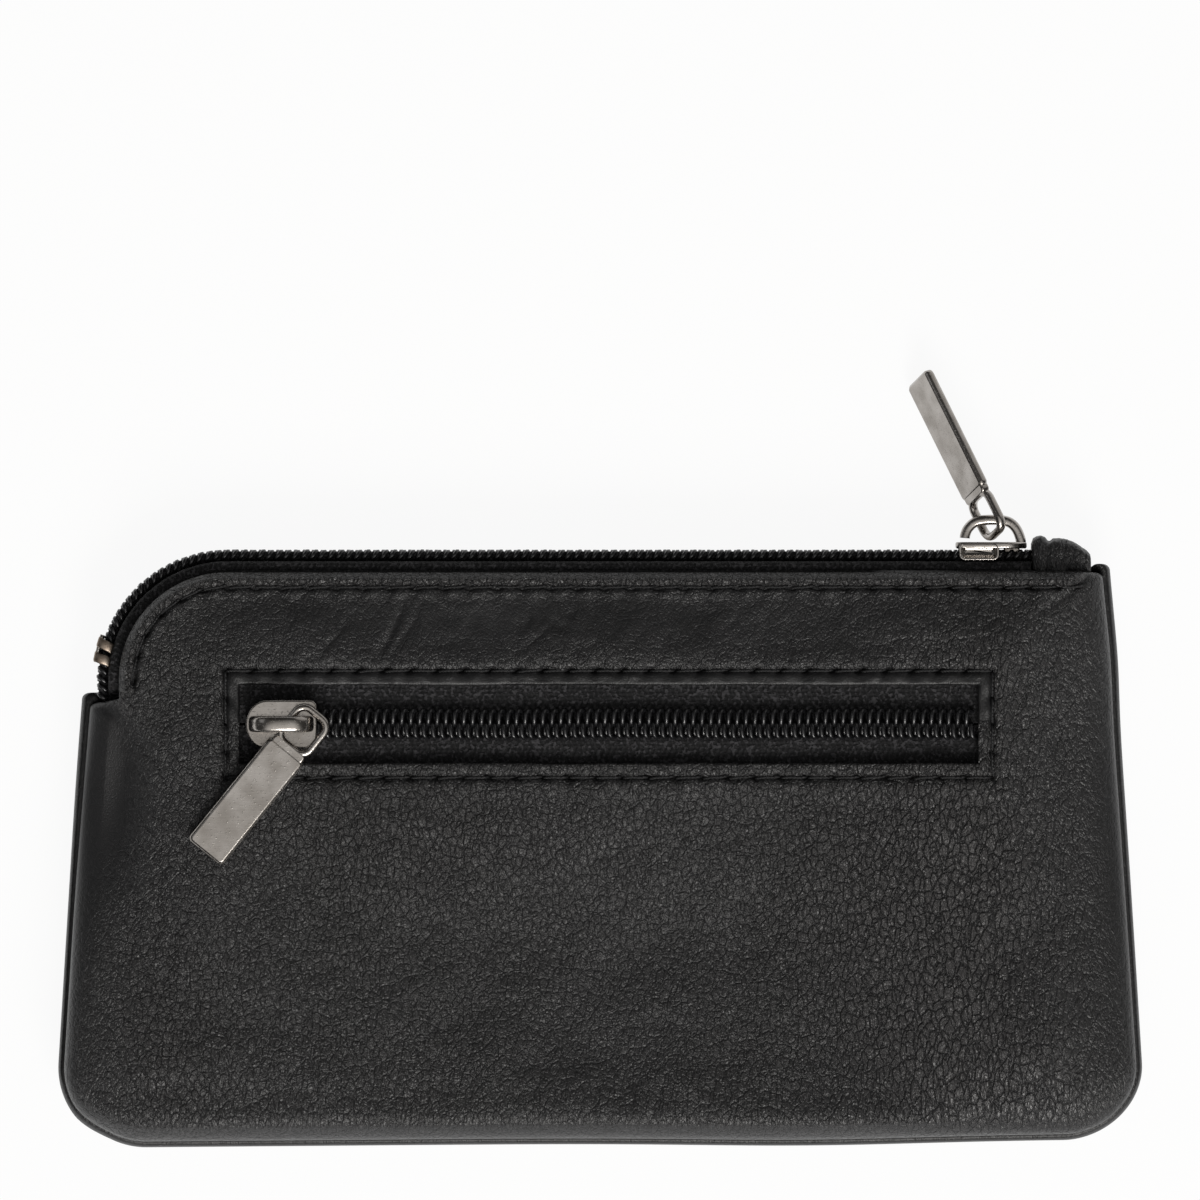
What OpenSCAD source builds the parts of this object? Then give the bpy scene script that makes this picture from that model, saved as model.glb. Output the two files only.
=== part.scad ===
// Leather coin purse lying on its back, with a zipped main compartment and a zipped front pocket.
// +X runs along the zips, +Y from the bottom edge to the main zip, +Z out through the front.
// The origin is the middle of the back's flat face. All sizes are millimetres.

/* [Purse] */
// Width across the bottom edge
bottom_w = 136; // [120:1:170]
// Width across the top edge
top_w = 127.2; // [112:0.2:160]
// Height of the leather, from the bottom edge to the mouth
body_h = 72; // [66:1:95]
// Depth of the back, from its flat face to the side seam
back_depth = 8; // [8:0.5:12]
// Depth of the front, from the side seam to its face
front_depth = 6; // [6:0.5:10]
// Radius of the bottom left corner
left_corner_r = 10; // [4:0.5:14]
// Radius of the bottom right corner
right_corner_r = 9; // [4:0.5:14]
// How much higher the bottom edge is at its right end
bottom_rise = 1.1; // [0:0.1:3]
// Width of the rolled edge at the sides and the bottom
side_roll = 10; // [8:0.5:11]
// Width of the rolled edge at the mouth
mouth_roll = 8; // [6:0.5:9]
// How far the back's rolled edge shows outside the front
back_rim = 0.8; // [0.2:0.1:1.2]
// Thickness of the leather
leather_t = 1.1; // [0.8:0.1:1.4]
// Thickness of the lining cloth
lining_t = 0.3; // [0.2:0.05:0.4]

/* [Mouth] */
// Radius of the leather where the main zip turns the corner
mouth_r = 13.5; // [11:0.5:17]
// Distance of that corner's centre from the middle
mouth_corner_x = 46.5; // [40:0.5:48]
// Height at which the left side seam ends, above the bottom edge
shoulder_y = 57; // [50:0.5:58]
// Half of the gap between the two leather edges at the mouth
mouth_half = 3.3; // [3.3:0.1:4]
// Where the mouth ends on the right
mouth_end_x = 61; // [58:0.5:61.5]

/* [Pocket] */
// Height of the pocket zip above the bottom edge
pocket_y = 53.1; // [46:0.1:54]
// Length of the window in the front
window_l = 92.2; // [70:0.2:96]
// Height of the window
window_h = 9.9; // [9:0.1:12]
// Middle of the window, right of the purse's middle
window_x = 1.1; // [-3:0.1:3]
// Distance from the window's edge to the stitches around it
window_margin = 1.7; // [1.2:0.1:2.2]
// Height of the pocket's bottom above the purse's bottom edge
pocket_bottom = 13; // [12.5:0.5:25]

/* [Zip chain] */
// Width of one row of coil
coil_w = 1.7; // [1.4:0.1:1.8]
// Height of the coil above its tape
coil_h = 1.5; // [1.2:0.1:1.8]
// Slot between the two rows of coil
coil_slot = 0.6; // [0.5:0.1:0.8]
// Distance from one tooth to the next
tooth_pitch = 1.1; // [0.9:0.1:1.5]
// Depth of the hollows between teeth
tooth_dip = 0.2; // [0.1:0.05:0.3]
// Thickness of the zip tape
tape_t = 0.5; // [0.4:0.05:0.5]
// Width of the main zip's tape under the leather
tape_tuck = 7.3; // [5:0.1:7.5]
// Width of one side of the pocket's tape
pocket_tape_w = 7.1; // [6:0.1:7.5]

/* [Sliders] */
// Length of the slider's body
slider_l = 8.9; // [8:0.1:11]
// Width of the slider's upper plate
slider_w = 6; // [5.8:0.1:6.2]
// Width of the slider's lower plate
keel_w = 5; // [4:0.1:5.1]
// Thickness of the slider's plates
plate_t = 0.8; // [0.6:0.1:0.9]
// Length of the side flanges that hold the coil
flange_l = 5.3; // [4:0.1:6]
// Thickness of the side flanges
flange_t = 0.75; // [0.6:0.05:0.8]
// Length of the crown that holds the pull
crown_l = 7.8; // [7.4:0.1:8]
// Width of the crown
crown_w = 1.8; // [1.6:0.1:2.2]
// Clear height under the crown
crown_gap = 2.3; // [2.2:0.1:2.8]
// Thickness of the crown
crown_t = 1; // [0.8:0.1:1.2]
// Gap at the open end of the main slider's crown
hook_gap = 0.4; // [0.2:0.1:0.6]

/* [Pulls] */
// Length of the pull
pull_l = 22.7; // [18:0.1:30]
// Width of the pull
pull_w = 5.5; // [5.2:0.1:6]
// Thickness of the pull
pull_t = 1.3; // [1.1:0.1:1.3]
// Length of the eye in the pull
eye_l = 4.3; // [3.9:0.1:5]
// Width of the eye in the pull
eye_w = 3.5; // [3.3:0.1:3.6]
// Diameter of the bar that closes the eye
eye_bar_d = 0.95; // [0.8:0.05:1.1]
// Direction of the main pull, turned from +X
main_pull_turn = 116; // [100:1:130]
// How far the main pull droops towards the back
main_pull_droop = 13; // [6:0.5:13.5]
// How far the main pull is twisted out of the crown's plane
main_pull_twist = 22; // [0:1:26]
// How far the main pull's bar has slid towards the front in its crown
main_pull_shift = 0.3; // [0:0.05:0.5]
// Direction of the pocket pull, turned from +X
pocket_pull_turn = 231; // [222:1:300]
// How far the pocket pull slopes down to the leather
pocket_pull_slope = 3; // [0:0.5:3.5]
// Middle of the main slider, right of the purse's middle
main_slider_x = 48.9; // [0:0.1:49]
// Middle of the pocket slider, right of the purse's middle
pocket_slider_x = -39.7; // [-40:0.1:40]

/* [End tab] */
// Where the leather tab over the zip's end starts
tab_x = 53.9; // [53.9:0.1:55]
// Length of the tab
tab_l = 7.4; // [5:0.1:7.5]
// Length of the tab's rolled ridge
tab_ridge_l = 2.2; // [1.5:0.1:3]
// Height of the ridge above the leather's edge
tab_h = 4.6; // [4.4:0.1:5.5]

/* [Stitches] */
// Distance from one stitch to the next
stitch_pitch = 3.34; // [2.5:0.02:5]
// Visible length of a stitch
stitch_l = 2.5; // [1.5:0.1:2.6]
// Thickness of the thread
thread_d = 0.45; // [0.3:0.05:0.6]
// Distance of the stitches from the mouth's edge
stitch_inset = 1.8; // [1.4:0.1:2.4]

/* [Clearances] */
// Between layers that lie on each other
layer_gap = 0.1; // [0.1:0.05:0.2]
// Between the sliders and what they run on
slider_gap = 0.1; // [0.1:0.05:0.15]
// Under the pocket's pull at its pivot
pull_gap = 0.5; // [0.45:0.05:0.6]

/* [Hidden] */
$fn = 48;

leather_colour = [0.13, 0.13, 0.14];
lining_colour = [0.28, 0.28, 0.31];
tape_colour = [0.08, 0.08, 0.09];
coil_colour = [0.18, 0.18, 0.20];
thread_colour = [0.05, 0.05, 0.06];
metal_colour = [0.70, 0.68, 0.65];

seam_z = back_depth;
purse_t = back_depth + front_depth;
corner_x = -mouth_corner_x;
corner_y = body_h - mouth_r;
lean = (bottom_w - top_w) / 2 / body_h;

// Rings of the rolled edges, and points along each rounded corner
roll_steps = 6;
corner_steps = 6;
turn_steps = 12;

// Radii about the mouth's corner, and heights over the leather's edge
tape_r = mouth_r + 1.4;
coil_r = tape_r + coil_h;
tape_half = mouth_half - layer_gap;
chain_half = coil_slot / 2 + coil_w;
tail = corner_y - shoulder_y - layer_gap;
overall_h = corner_y + coil_r;

// Heights of the layers behind the front leather
front_inner_z = purse_t - leather_t;
pocket_tape_top = front_inner_z - layer_gap;
lining_level = seam_z - 0.65;
bag_back_z = lining_level + layer_gap;
bag_front_top = pocket_tape_top - layer_gap / 2;
flap_half = tape_half - tape_t - layer_gap;
flap_inset = 3;
lining_step_y = pocket_y + pocket_tape_w + 3.1;
bag_top_y = pocket_y + coil_slot / 2 + pocket_tape_w + 0.8;
bag_x = window_l / 2 + 5;
bag_corner_r = 4;

// Slider heights over the tape's face
plate_z = coil_h + slider_gap;
crown_z = plate_z + plate_t;
crown_top = crown_z + crown_gap + crown_t;

function unit(v) = v / norm(v);

// Points round the corner b of a path a, b, c
function corner(a, b, c, r, steps) =
    r == 0 ? [b] :
    let (u = unit(a - b), v = unit(c - b),
         half = acos(u * v) / 2,
         middle = b + unit(u + v) * r / sin(half),
         from = b + u * r / tan(half) - middle,
         side = u.x * v.y - u.y * v.x > 0 ? -1 : 1,
         start = atan2(from.y, from.x))
    [for (i = [0 : steps])
        let (a = start + side * (180 - 2 * half) * i / steps)
        middle + r * [cos(a), sin(a)]];

// Corners as [x, y, radius, steps, share of the mouth's gap]
function corners_at(side, top) =
    let (left_x = function (y) -bottom_w / 2 + lean * y,
         turn_r = mouth_r - top,
         turn_x = corner_x - turn_r)
    [[left_x(side) + side, side, max(left_corner_r - side, 0.6), corner_steps, 0],
     [-left_x(side) - side, side + bottom_rise, max(right_corner_r - side, 0.6), corner_steps, 0],
     [-left_x(body_h) - side, body_h - top, 0.8, 3, 0],
     [mouth_end_x - side, body_h - top, 0, 0, 1],
     [turn_x, body_h - top, turn_r, turn_steps, 1],
     [turn_x, shoulder_y - side, 0, 0, 1],
     [left_x(shoulder_y) + side, shoulder_y - side, 0.8, 3, 0]];

// The purse's outline as [x, y, share of the mouth's gap]
function outline(side, top) =
    let (c = corners_at(side, top), n = len(c), xy = [for (p = c) [p[0], p[1]]])
    [for (i = [0 : n - 1])
        each [for (p = corner(xy[(i + n - 1) % n], xy[i], xy[(i + 1) % n], c[i][2], c[i][3]))
            [p.x, p.y, c[i][4]]]];

function flat_outline(side, top) = [for (p = outline(side, top)) [p.x, p.y]];

// One ring of a panel, at one height on the sides and another at the mouth
function ring(side, top, side_z, top_z) =
    [for (p = outline(side, top)) [p.x, p.y, side_z + p[2] * (top_z - side_z)]];

// Rings of a rolled surface, from the edge inwards
function roll(side, top, side_z, top_z, depth, side_run, top_run) =
    [for (i = [0 : roll_steps])
        let (a = 90 * i / roll_steps, in = 1 - cos(a), up = sin(a))
        ring(side + side_run * in, top + top_run * in,
             side_z + (depth - side_z) * up, top_z + (depth - top_z) * up)];

function backwards(list) = [for (i = [len(list) - 1 : -1 : 0]) list[i]];

// Closed solid over a list of rings with as many points each, capped at both ends or joined in a loop
module skin(rings, loop = false) {
    n = len(rings[0]);
    count = len(rings);
    last = count - 1;
    polyhedron(
        points = [for (r = rings) each r],
        faces = [
            if (!loop) [for (i = [n - 1 : -1 : 0]) i],
            if (!loop) [for (i = [0 : n - 1]) last * n + i],
            for (k = [0 : loop ? last : last - 1]) for (i = [0 : n - 1])
                let (j = (i + 1) % n, next = (k + 1) % count)
                each [[k * n + i, k * n + j, next * n + j],
                      [k * n + i, next * n + j, next * n + i]]],
        convexity = 6);
}

// Draws in heights above the bottom edge
module from_bottom_edge() translate([0, -overall_h / 2, 0]) children();

// Draws the front as modelled and the back mirrored in the seam
module on_side(front) translate([0, 0, seam_z]) mirror([0, 0, front ? 0 : 1]) children();

// Sweeps a profile of radius and height along the mouth
module along_mouth(end_x) translate([corner_x, corner_y, 0]) {
    rotate([90, 0, 90]) linear_extrude(end_x - corner_x) children();
    rotate(90) rotate_extrude(angle = 90) children();
    mirror([1, 0, 0]) rotate([90, 0, 0]) linear_extrude(tail) children();
}

// A leather panel, rolled in to the seam and the mouth, with its children cut from the flat middle
module leather_panel(depth, rim) {
    outer = roll(rim, 0, 0, mouth_half + leather_t, depth, side_roll, mouth_roll);
    inner = roll(rim + leather_t, 0, 0, mouth_half, depth - leather_t,
                 side_roll - leather_t, mouth_roll);
    skin(concat(backwards(outer), inner), loop = true);
    translate([0, 0, depth - leather_t]) linear_extrude(leather_t) difference() {
        polygon(flat_outline(rim + side_roll, mouth_roll));
        children();
    }
}

module back_panel()
    color(leather_colour) from_bottom_edge() on_side(false) leather_panel(back_depth, 0);

module front_panel()
    color(leather_colour) from_bottom_edge() on_side(true) leather_panel(front_depth, back_rim)
        translate([window_x - window_l / 2, pocket_y - window_h / 2]) square([window_l, window_h]);

// Cloth behind the leather of the back, flat under the tape and then down to the back
module back_lining() {
    edge = leather_t + 0.8;
    depth = back_depth - leather_t - layer_gap;
    turn = mouth_r - tape_r + tape_t + tape_tuck + layer_gap;
    start = seam_z - lining_level + lining_t + layer_gap;
    outer = concat([ring(edge, flap_inset, start, flap_half)],
        roll(edge + 0.05, turn + 0.3, start + 0.05, flap_half, depth, side_roll, 2));
    inner = concat([ring(edge + lining_t, flap_inset, start, flap_half - lining_t)],
        roll(edge + lining_t + 0.05, turn + 0.3 + lining_t, start + 0.05, flap_half - lining_t,
             depth - lining_t, side_roll, 2));
    color(lining_colour) from_bottom_edge() on_side(false)
        skin(concat(backwards(inner), outer));
}

// Cloth between the compartments, stepped up over the pocket to the front tape
module front_lining() {
    edge = leather_t + 0.5;
    flap_edge = leather_t + side_roll / 3;
    flap_z = seam_z + flap_half - lining_t;
    color(lining_colour) from_bottom_edge() {
        translate([0, 0, lining_level - lining_t]) linear_extrude(lining_t) intersection() {
            polygon(flat_outline(edge, flap_inset));
            translate([-bottom_w / 2, 0]) square([bottom_w, lining_step_y]);
        }
        translate([0, 0, lining_level - lining_t])
            linear_extrude(flap_z + lining_t - lining_level + lining_t) intersection() {
            polygon(flat_outline(flap_edge, flap_inset));
            translate([-bottom_w / 2, lining_step_y - lining_t]) square([bottom_w, lining_t]);
        }
        translate([0, 0, flap_z]) linear_extrude(lining_t) intersection() {
            polygon(flat_outline(flap_edge, flap_inset));
            translate([-bottom_w / 2, lining_step_y - lining_t]) square([bottom_w, body_h]);
        }
    }
}

function rounded_box(x0, y0, x1, y1, r) =
    let (c = [[x0, y0], [x1, y0], [x1, y1], [x0, y1]])
    [for (i = [0 : 3]) each corner(c[(i + 3) % 4], c[i], c[(i + 1) % 4], r, corner_steps)];

// Outline of the pocket's bag, drawn in by some distance
function bag_box(inset, top) =
    rounded_box(window_x - bag_x + inset, pocket_bottom + inset, window_x + bag_x - inset, top,
                bag_corner_r - inset);

// Cloth sewn to the upper tape, which closes the pocket behind and above
module pocket_bag_back() color(lining_colour) from_bottom_edge() {
    translate([0, 0, bag_back_z]) linear_extrude(lining_t) polygon(bag_box(0, bag_top_y));
    translate([window_x - bag_x + bag_corner_r, bag_top_y - lining_t, bag_back_z])
        cube([2 * (bag_x - bag_corner_r), lining_t, bag_front_top - bag_back_z]);
}

// Cloth sewn to the lower tape, with the pocket's bottom and ends
module pocket_bag_front() {
    top = pocket_y - coil_slot / 2 - pocket_tape_w - layer_gap;
    low_z = bag_back_z + lining_t + layer_gap;
    color(lining_colour) from_bottom_edge() difference() {
        translate([0, 0, low_z]) linear_extrude(bag_front_top - low_z)
            polygon(bag_box(0, top));
        translate([0, 0, low_z - 1]) linear_extrude(bag_front_top - low_z + 1 - lining_t)
            polygon(bag_box(lining_t, top + 2 * bag_corner_r));
    }
}

// Section of one main tape: beside the coil, round the bend and in under the leather
module main_tape(front) color(tape_colour) from_bottom_edge() on_side(front)
    along_mouth(tab_x - layer_gap) polygon([
        [tape_r - tape_t, coil_slot / 2], [tape_r, coil_slot / 2], [tape_r, tape_half - 0.2],
        [tape_r - 0.2, tape_half], [tape_r - tape_t - tape_tuck, tape_half],
        [tape_r - tape_t - tape_tuck, tape_half - tape_t], [tape_r - tape_t, tape_half - tape_t]]);

module main_tape_front() main_tape(true);
module main_tape_back() main_tape(false);

function tooth(s) = tooth_dip * (1 - cos(360 * s / tooth_pitch)) / 2;

// Point along the mouth, s from the tab's end, at radius r about the corner
function mouth_point(s, r) =
    let (run = tab_x + 4 - corner_x, bend = coil_r * PI / 2)
    s < run ? [corner_x + run - s, corner_y + r] :
    s < run + bend ?
        let (a = 90 + 90 * (s - run) / bend) [corner_x, corner_y] + r * [cos(a), sin(a)] :
        [corner_x - r, corner_y - (s - run - bend)];

// One row of coil round the mouth, toothed on its outer side
module main_coil(front) {
    length = tab_x + 4 - corner_x + coil_r * PI / 2 + tail;
    step = tooth_pitch / 4;
    count = floor(length / step);
    color(coil_colour) from_bottom_edge() on_side(front)
        translate([0, 0, coil_slot / 2]) linear_extrude(coil_w) polygon(concat(
            [for (i = [0 : count]) mouth_point(i * step, coil_r - tooth(i * step))],
            [for (i = [count : -1 : 0]) mouth_point(i * step, tape_r + layer_gap / 2)]));
}

module main_coil_front() main_coil(true);
module main_coil_back() main_coil(false);

// Metal clamp over both rows near the left end of the chain
module main_bottom_stop() {
    stop_turn = 166;
    stop_span = 12.5;
    inner = chain_half + 0.1;
    outer = inner + 0.55;
    color(metal_colour) from_bottom_edge() translate([corner_x, corner_y, seam_z])
        rotate(stop_turn - stop_span / 2) rotate_extrude(angle = stop_span) difference() {
            translate([tape_r + 0.05, -outer]) square([coil_h + 0.55, 2 * outer]);
            translate([tape_r - 1, -inner]) square([coil_h + 1.1, 2 * inner]);
        }
}

// Folded leather over the right end of the zip
module zip_end_tab() {
    top_y = body_h + tab_h;
    ridge_x = tab_x + tab_ridge_l;
    end_x = tab_x + tab_l;
    half = tape_half;
    // the inner part ends short of where the leather closes in to the mouth's end
    inner_x = min(end_x - 2.9, mouth_end_x - back_rim - 2 * (leather_t - 2 * layer_gap));
    low_y = body_h - flap_inset + 2 * layer_gap;
    profile = [[tab_x, low_y], [inner_x, low_y], [inner_x, body_h + layer_gap],
               [end_x, body_h + layer_gap], [end_x, top_y - 2.6], [end_x - 1.6, top_y - 1.1],
               [ridge_x + 0.3, top_y - 0.3], [ridge_x - 0.4, top_y], [tab_x + 0.4, top_y],
               [tab_x, top_y - 0.4]];
    color(leather_colour) from_bottom_edge() difference() {
        translate([0, 0, seam_z - half]) linear_extrude(2 * half) polygon(profile);
        translate([tab_x - 1, body_h - 6, seam_z - chain_half - layer_gap])
            cube([6, tape_r - mouth_r + coil_h + 6 + layer_gap, 2 * (chain_half + layer_gap)]);
    }
}

// One side of the pocket's tape
module pocket_tape(up) color(tape_colour) from_bottom_edge()
    translate([window_x, pocket_y, pocket_tape_top - tape_t]) mirror([0, up ? 0 : 1, 0])
        translate([-window_l / 2 - 4, coil_slot / 2, 0]) cube([window_l + 8, pocket_tape_w, tape_t]);

module pocket_tape_upper() pocket_tape(true);
module pocket_tape_lower() pocket_tape(false);

// One row of the pocket's coil, toothed on the side away from the slot
module pocket_coil(up) {
    length = window_l - 2 * layer_gap;
    step = tooth_pitch / 4;
    count = floor(length / step);
    low = coil_slot / 2;
    color(coil_colour) from_bottom_edge()
        translate([window_x - length / 2, pocket_y, pocket_tape_top + layer_gap / 2])
        mirror([0, up ? 0 : 1, 0]) linear_extrude(coil_h - layer_gap / 2) polygon(concat(
            [[0, low], [count * step, low]],
            [for (i = [count : -1 : 0]) [i * step, low + coil_w - tooth(i * step)]]));
}

module pocket_coil_upper() pocket_coil(true);
module pocket_coil_lower() pocket_coil(false);

// A stitch along X
module stitch() rotate([0, 90, 0]) cylinder(h = stitch_l, d = thread_d, center = true, $fn = 24);

// Height of a rolled edge over the seam, at a distance from the mouth
function mouth_height(depth, inset) =
    let (edge = mouth_half + leather_t) edge + (depth - edge) * sin(acos(1 - inset / mouth_roll));

// Stitches along the mouth of one panel
module mouth_stitches(front) {
    lift = mouth_height(front ? front_depth : back_depth, stitch_inset) + thread_d / 2 + 0.05;
    stitch_r = mouth_r - stitch_inset;
    right_x = mouth_end_x - 3;
    count = floor((right_x - corner_x) / stitch_pitch);
    turns = round(stitch_r * PI / 2 / stitch_pitch);
    color(thread_colour) from_bottom_edge() on_side(front) {
        for (i = [0 : count - 1])
            translate([corner_x + (i + 0.5) * stitch_pitch, corner_y + stitch_r, lift]) stitch();
        for (i = [0 : turns - 1])
            translate([corner_x, corner_y, lift]) rotate((i + 0.5) * 90 / turns)
                translate([0, stitch_r, 0]) stitch();
    }
}

module mouth_stitches_front() mouth_stitches(true);
module mouth_stitches_back() mouth_stitches(false);

// A row of stitches along X, centred
module stitch_row(length) {
    count = round(length / stitch_pitch);
    for (i = [0 : count - 1])
        translate([(i + 0.5 - count / 2) * length / count, 0, 0]) stitch();
}

// Stitches round the pocket's window
module window_stitches() {
    across = window_l + 2 * window_margin;
    up = window_h + 2 * window_margin;
    color(thread_colour) from_bottom_edge()
        translate([window_x, pocket_y, purse_t + thread_d / 2 + 0.02]) {
            for (side = [-1, 1]) {
                translate([0, side * up / 2, 0]) stitch_row(across);
                translate([side * across / 2, 0, 0]) rotate(90) stitch_row(up);
            }
        }
}

// Plate of a slider, round at its nose, which points along +X
module slider_plate(width) {
    tail_r = 0.9;
    polygon(concat(
        corner([-slider_l / 2, width / 2], [-slider_l / 2, -width / 2], [0, -width / 2], tail_r, 6),
        [for (a = [-90 : 10 : 90])
            [slider_l / 2 - width / 2 * 0.9, 0] + width / 2 * [0.9 * cos(a), sin(a)]],
        corner([0, width / 2], [-slider_l / 2, width / 2], [-slider_l / 2, -width / 2], tail_r, 6)));
}

// Side view of a crown, as [along, up] over the slider's tape
module crown_profile(hooked) {
    front_x = crown_l / 2;
    difference() {
        polygon(concat(
            [[-front_x, crown_z - 0.1], [front_x, crown_z - 0.1]],
            corner([front_x, crown_z], [front_x, crown_top], [-front_x, crown_top], 1.4, 6),
            corner([front_x, crown_top], [-front_x, crown_top], [-front_x, crown_z], 1.4, 6)));
        polygon(rounded_box(crown_t - front_x, crown_z, front_x - crown_t, crown_z + crown_gap, 0.5));
        if (hooked)
            translate([-front_x - 1, crown_z - 0.2]) square([crown_t + 1.5, hook_gap + 0.2]);
    }
}

// A slider on its chain, with z = 0 on the tape's face and its nose along +X
module slider(hooked) {
    wedge_l = 2;
    translate([0, 0, plate_z]) linear_extrude(plate_t) slider_plate(slider_w);
    translate([0, 0, -tape_t - slider_gap - plate_t]) linear_extrude(plate_t) slider_plate(keel_w);
    translate([slider_l / 2 - wedge_l - 0.9, -coil_slot / 2 + slider_gap / 2,
               -tape_t - slider_gap - plate_t / 2])
        cube([wedge_l, coil_slot - slider_gap, plate_z + tape_t + slider_gap + plate_t]);
    for (side = [0, 1]) mirror([0, side, 0])
        translate([0.9 - slider_l / 2, slider_w / 2 - flange_t, slider_gap])
            cube([flange_l - 0.9, flange_t, plate_z + plate_t / 2]);
    rotate([90, 0, 0]) translate([0, 0, -crown_w / 2]) linear_extrude(crown_w)
        crown_profile(hooked);
}

module main_slider() color(metal_colour) from_bottom_edge()
    translate([main_slider_x, corner_y + tape_r, seam_z]) rotate([-90, 0, 0]) slider(true);

module pocket_slider() color(metal_colour) from_bottom_edge()
    translate([pocket_slider_x, pocket_y, pocket_tape_top]) mirror([1, 0, 0]) slider(false);

// A pull along +X, with z = 0 at mid thickness and the eye's bar centred on the origin
module pull() {
    bar_r = eye_bar_d / 2;
    ring_w = eye_w + 2 * eye_bar_d;
    ring_l = eye_l + 2 * eye_bar_d - 0.3;
    tip_x = pull_l - bar_r;
    difference() {
        translate([0, 0, -pull_t / 2]) linear_extrude(pull_t) difference() {
            union() {
                polygon(rounded_box(-bar_r, -ring_w / 2, ring_l - bar_r + 1, ring_w / 2, 2));
                polygon(rounded_box(ring_l - bar_r - 0.6, -pull_w / 2, tip_x, pull_w / 2, 0.7));
            }
            polygon(rounded_box(bar_r, -eye_w / 2, bar_r + eye_l, eye_w / 2, 1));
        }
        // the bar is round, so its flat stretch is cut away before it is drawn
        translate([-bar_r - 1, -eye_w / 2 + 1, -pull_t]) cube([eye_bar_d + 1.01, eye_w - 2, 2 * pull_t]);
    }
    rotate([90, 0, 0]) cylinder(h = eye_w - 1.9, d = eye_bar_d, center = true);
}

// Where the eye's bar sits in the main slider's crown
main_bar = [main_slider_x + 0.6, corner_y + tape_r + crown_z + crown_gap / 2,
            seam_z + main_pull_shift];

module main_pull() color(metal_colour) from_bottom_edge()
    translate(main_bar) rotate([90 + main_pull_twist, main_pull_droop, main_pull_turn]) pull();

// The crown's right post, which the pocket pull turns about
post_x = pocket_slider_x + crown_l / 2 - crown_t / 2;
post_reach = eye_bar_d / 2 + norm([crown_t, crown_w]) / 2 + 0.1;

module pocket_pull() color(metal_colour) from_bottom_edge()
    translate([post_x, pocket_y, pocket_tape_top + crown_z + pull_gap + pull_t / 2])
    rotate([0, pocket_pull_slope, pocket_pull_turn]) translate([-post_reach, 0, 0]) pull();

front_panel();
back_panel();
front_lining();
back_lining();
pocket_bag_front();
pocket_bag_back();
main_tape_front();
main_tape_back();
main_coil_front();
main_coil_back();
main_bottom_stop();
zip_end_tab();
pocket_tape_upper();
pocket_tape_lower();
pocket_coil_upper();
pocket_coil_lower();
mouth_stitches_front();
mouth_stitches_back();
window_stitches();
main_slider();
main_pull();
pocket_slider();
pocket_pull();
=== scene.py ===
import math

import bmesh
import bpy
import numpy as np
from mathutils import Euler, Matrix, Vector, kdtree, noise
from mathutils.geometry import delaunay_2d_cdt


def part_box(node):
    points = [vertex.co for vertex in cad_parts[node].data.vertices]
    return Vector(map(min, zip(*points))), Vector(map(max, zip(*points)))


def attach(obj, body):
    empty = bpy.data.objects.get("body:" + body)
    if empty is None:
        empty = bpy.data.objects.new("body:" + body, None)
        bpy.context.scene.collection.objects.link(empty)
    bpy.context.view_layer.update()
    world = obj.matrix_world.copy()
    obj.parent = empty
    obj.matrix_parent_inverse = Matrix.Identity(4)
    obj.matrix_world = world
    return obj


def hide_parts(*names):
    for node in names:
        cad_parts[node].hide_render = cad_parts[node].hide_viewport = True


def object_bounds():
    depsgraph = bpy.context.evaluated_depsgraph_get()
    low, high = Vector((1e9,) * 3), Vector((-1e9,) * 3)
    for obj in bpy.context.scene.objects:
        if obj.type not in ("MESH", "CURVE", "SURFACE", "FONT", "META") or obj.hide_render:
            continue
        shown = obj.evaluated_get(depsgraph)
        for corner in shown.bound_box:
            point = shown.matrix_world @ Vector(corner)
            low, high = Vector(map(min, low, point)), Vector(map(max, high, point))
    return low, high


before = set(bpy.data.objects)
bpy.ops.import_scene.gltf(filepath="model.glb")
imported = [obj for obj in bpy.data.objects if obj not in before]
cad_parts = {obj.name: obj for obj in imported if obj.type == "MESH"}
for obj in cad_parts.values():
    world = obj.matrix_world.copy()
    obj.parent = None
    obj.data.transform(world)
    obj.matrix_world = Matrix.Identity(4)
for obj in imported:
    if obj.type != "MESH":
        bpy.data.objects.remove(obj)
cad_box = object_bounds()

# The table. The purse lies on its back on a pale board in a softly lit room, with one
# broad lamp beyond its bottom edge, and is seen from straight above through a long lens.
mm = 0.001
view_width, view_distance, view_y = 150 * mm, 2.0, 31.2 * mm
back_low, back_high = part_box("back_panel")
bottom = back_low.y / mm
seam_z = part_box("front_panel")[0].z / mm


class Wire:
    """A socket. A sum with it adds a Math node to its tree."""

    def __init__(self, nodes, socket):
        self.nodes, self.socket = nodes, socket

    def out(self, key):
        """Another output of the same node."""
        return Wire(self.nodes, self.socket.node.outputs[key])

    def maths(self, operation, *others):
        """A Math node with this as its first value."""
        return self.nodes.add("ShaderNodeMath", {"operation": operation}, dict(enumerate([self, *others])))

    def __add__(self, other):
        return self.maths("ADD", other)

    def __sub__(self, other):
        return self.maths("SUBTRACT", other)

    def __rsub__(self, other):
        return self.maths("MULTIPLY_ADD", -1, other)

    def __mul__(self, other):
        return self.maths("MULTIPLY", other)

    __radd__, __rmul__ = __add__, __mul__

    def rise(self, low, high):
        """0 below low and 1 above high, with a smooth rise between them."""
        return self.nodes.add(
            "ShaderNodeMapRange", {"interpolation_type": "SMOOTHSTEP"}, {0: self, 1: low, 2: high})


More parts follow.
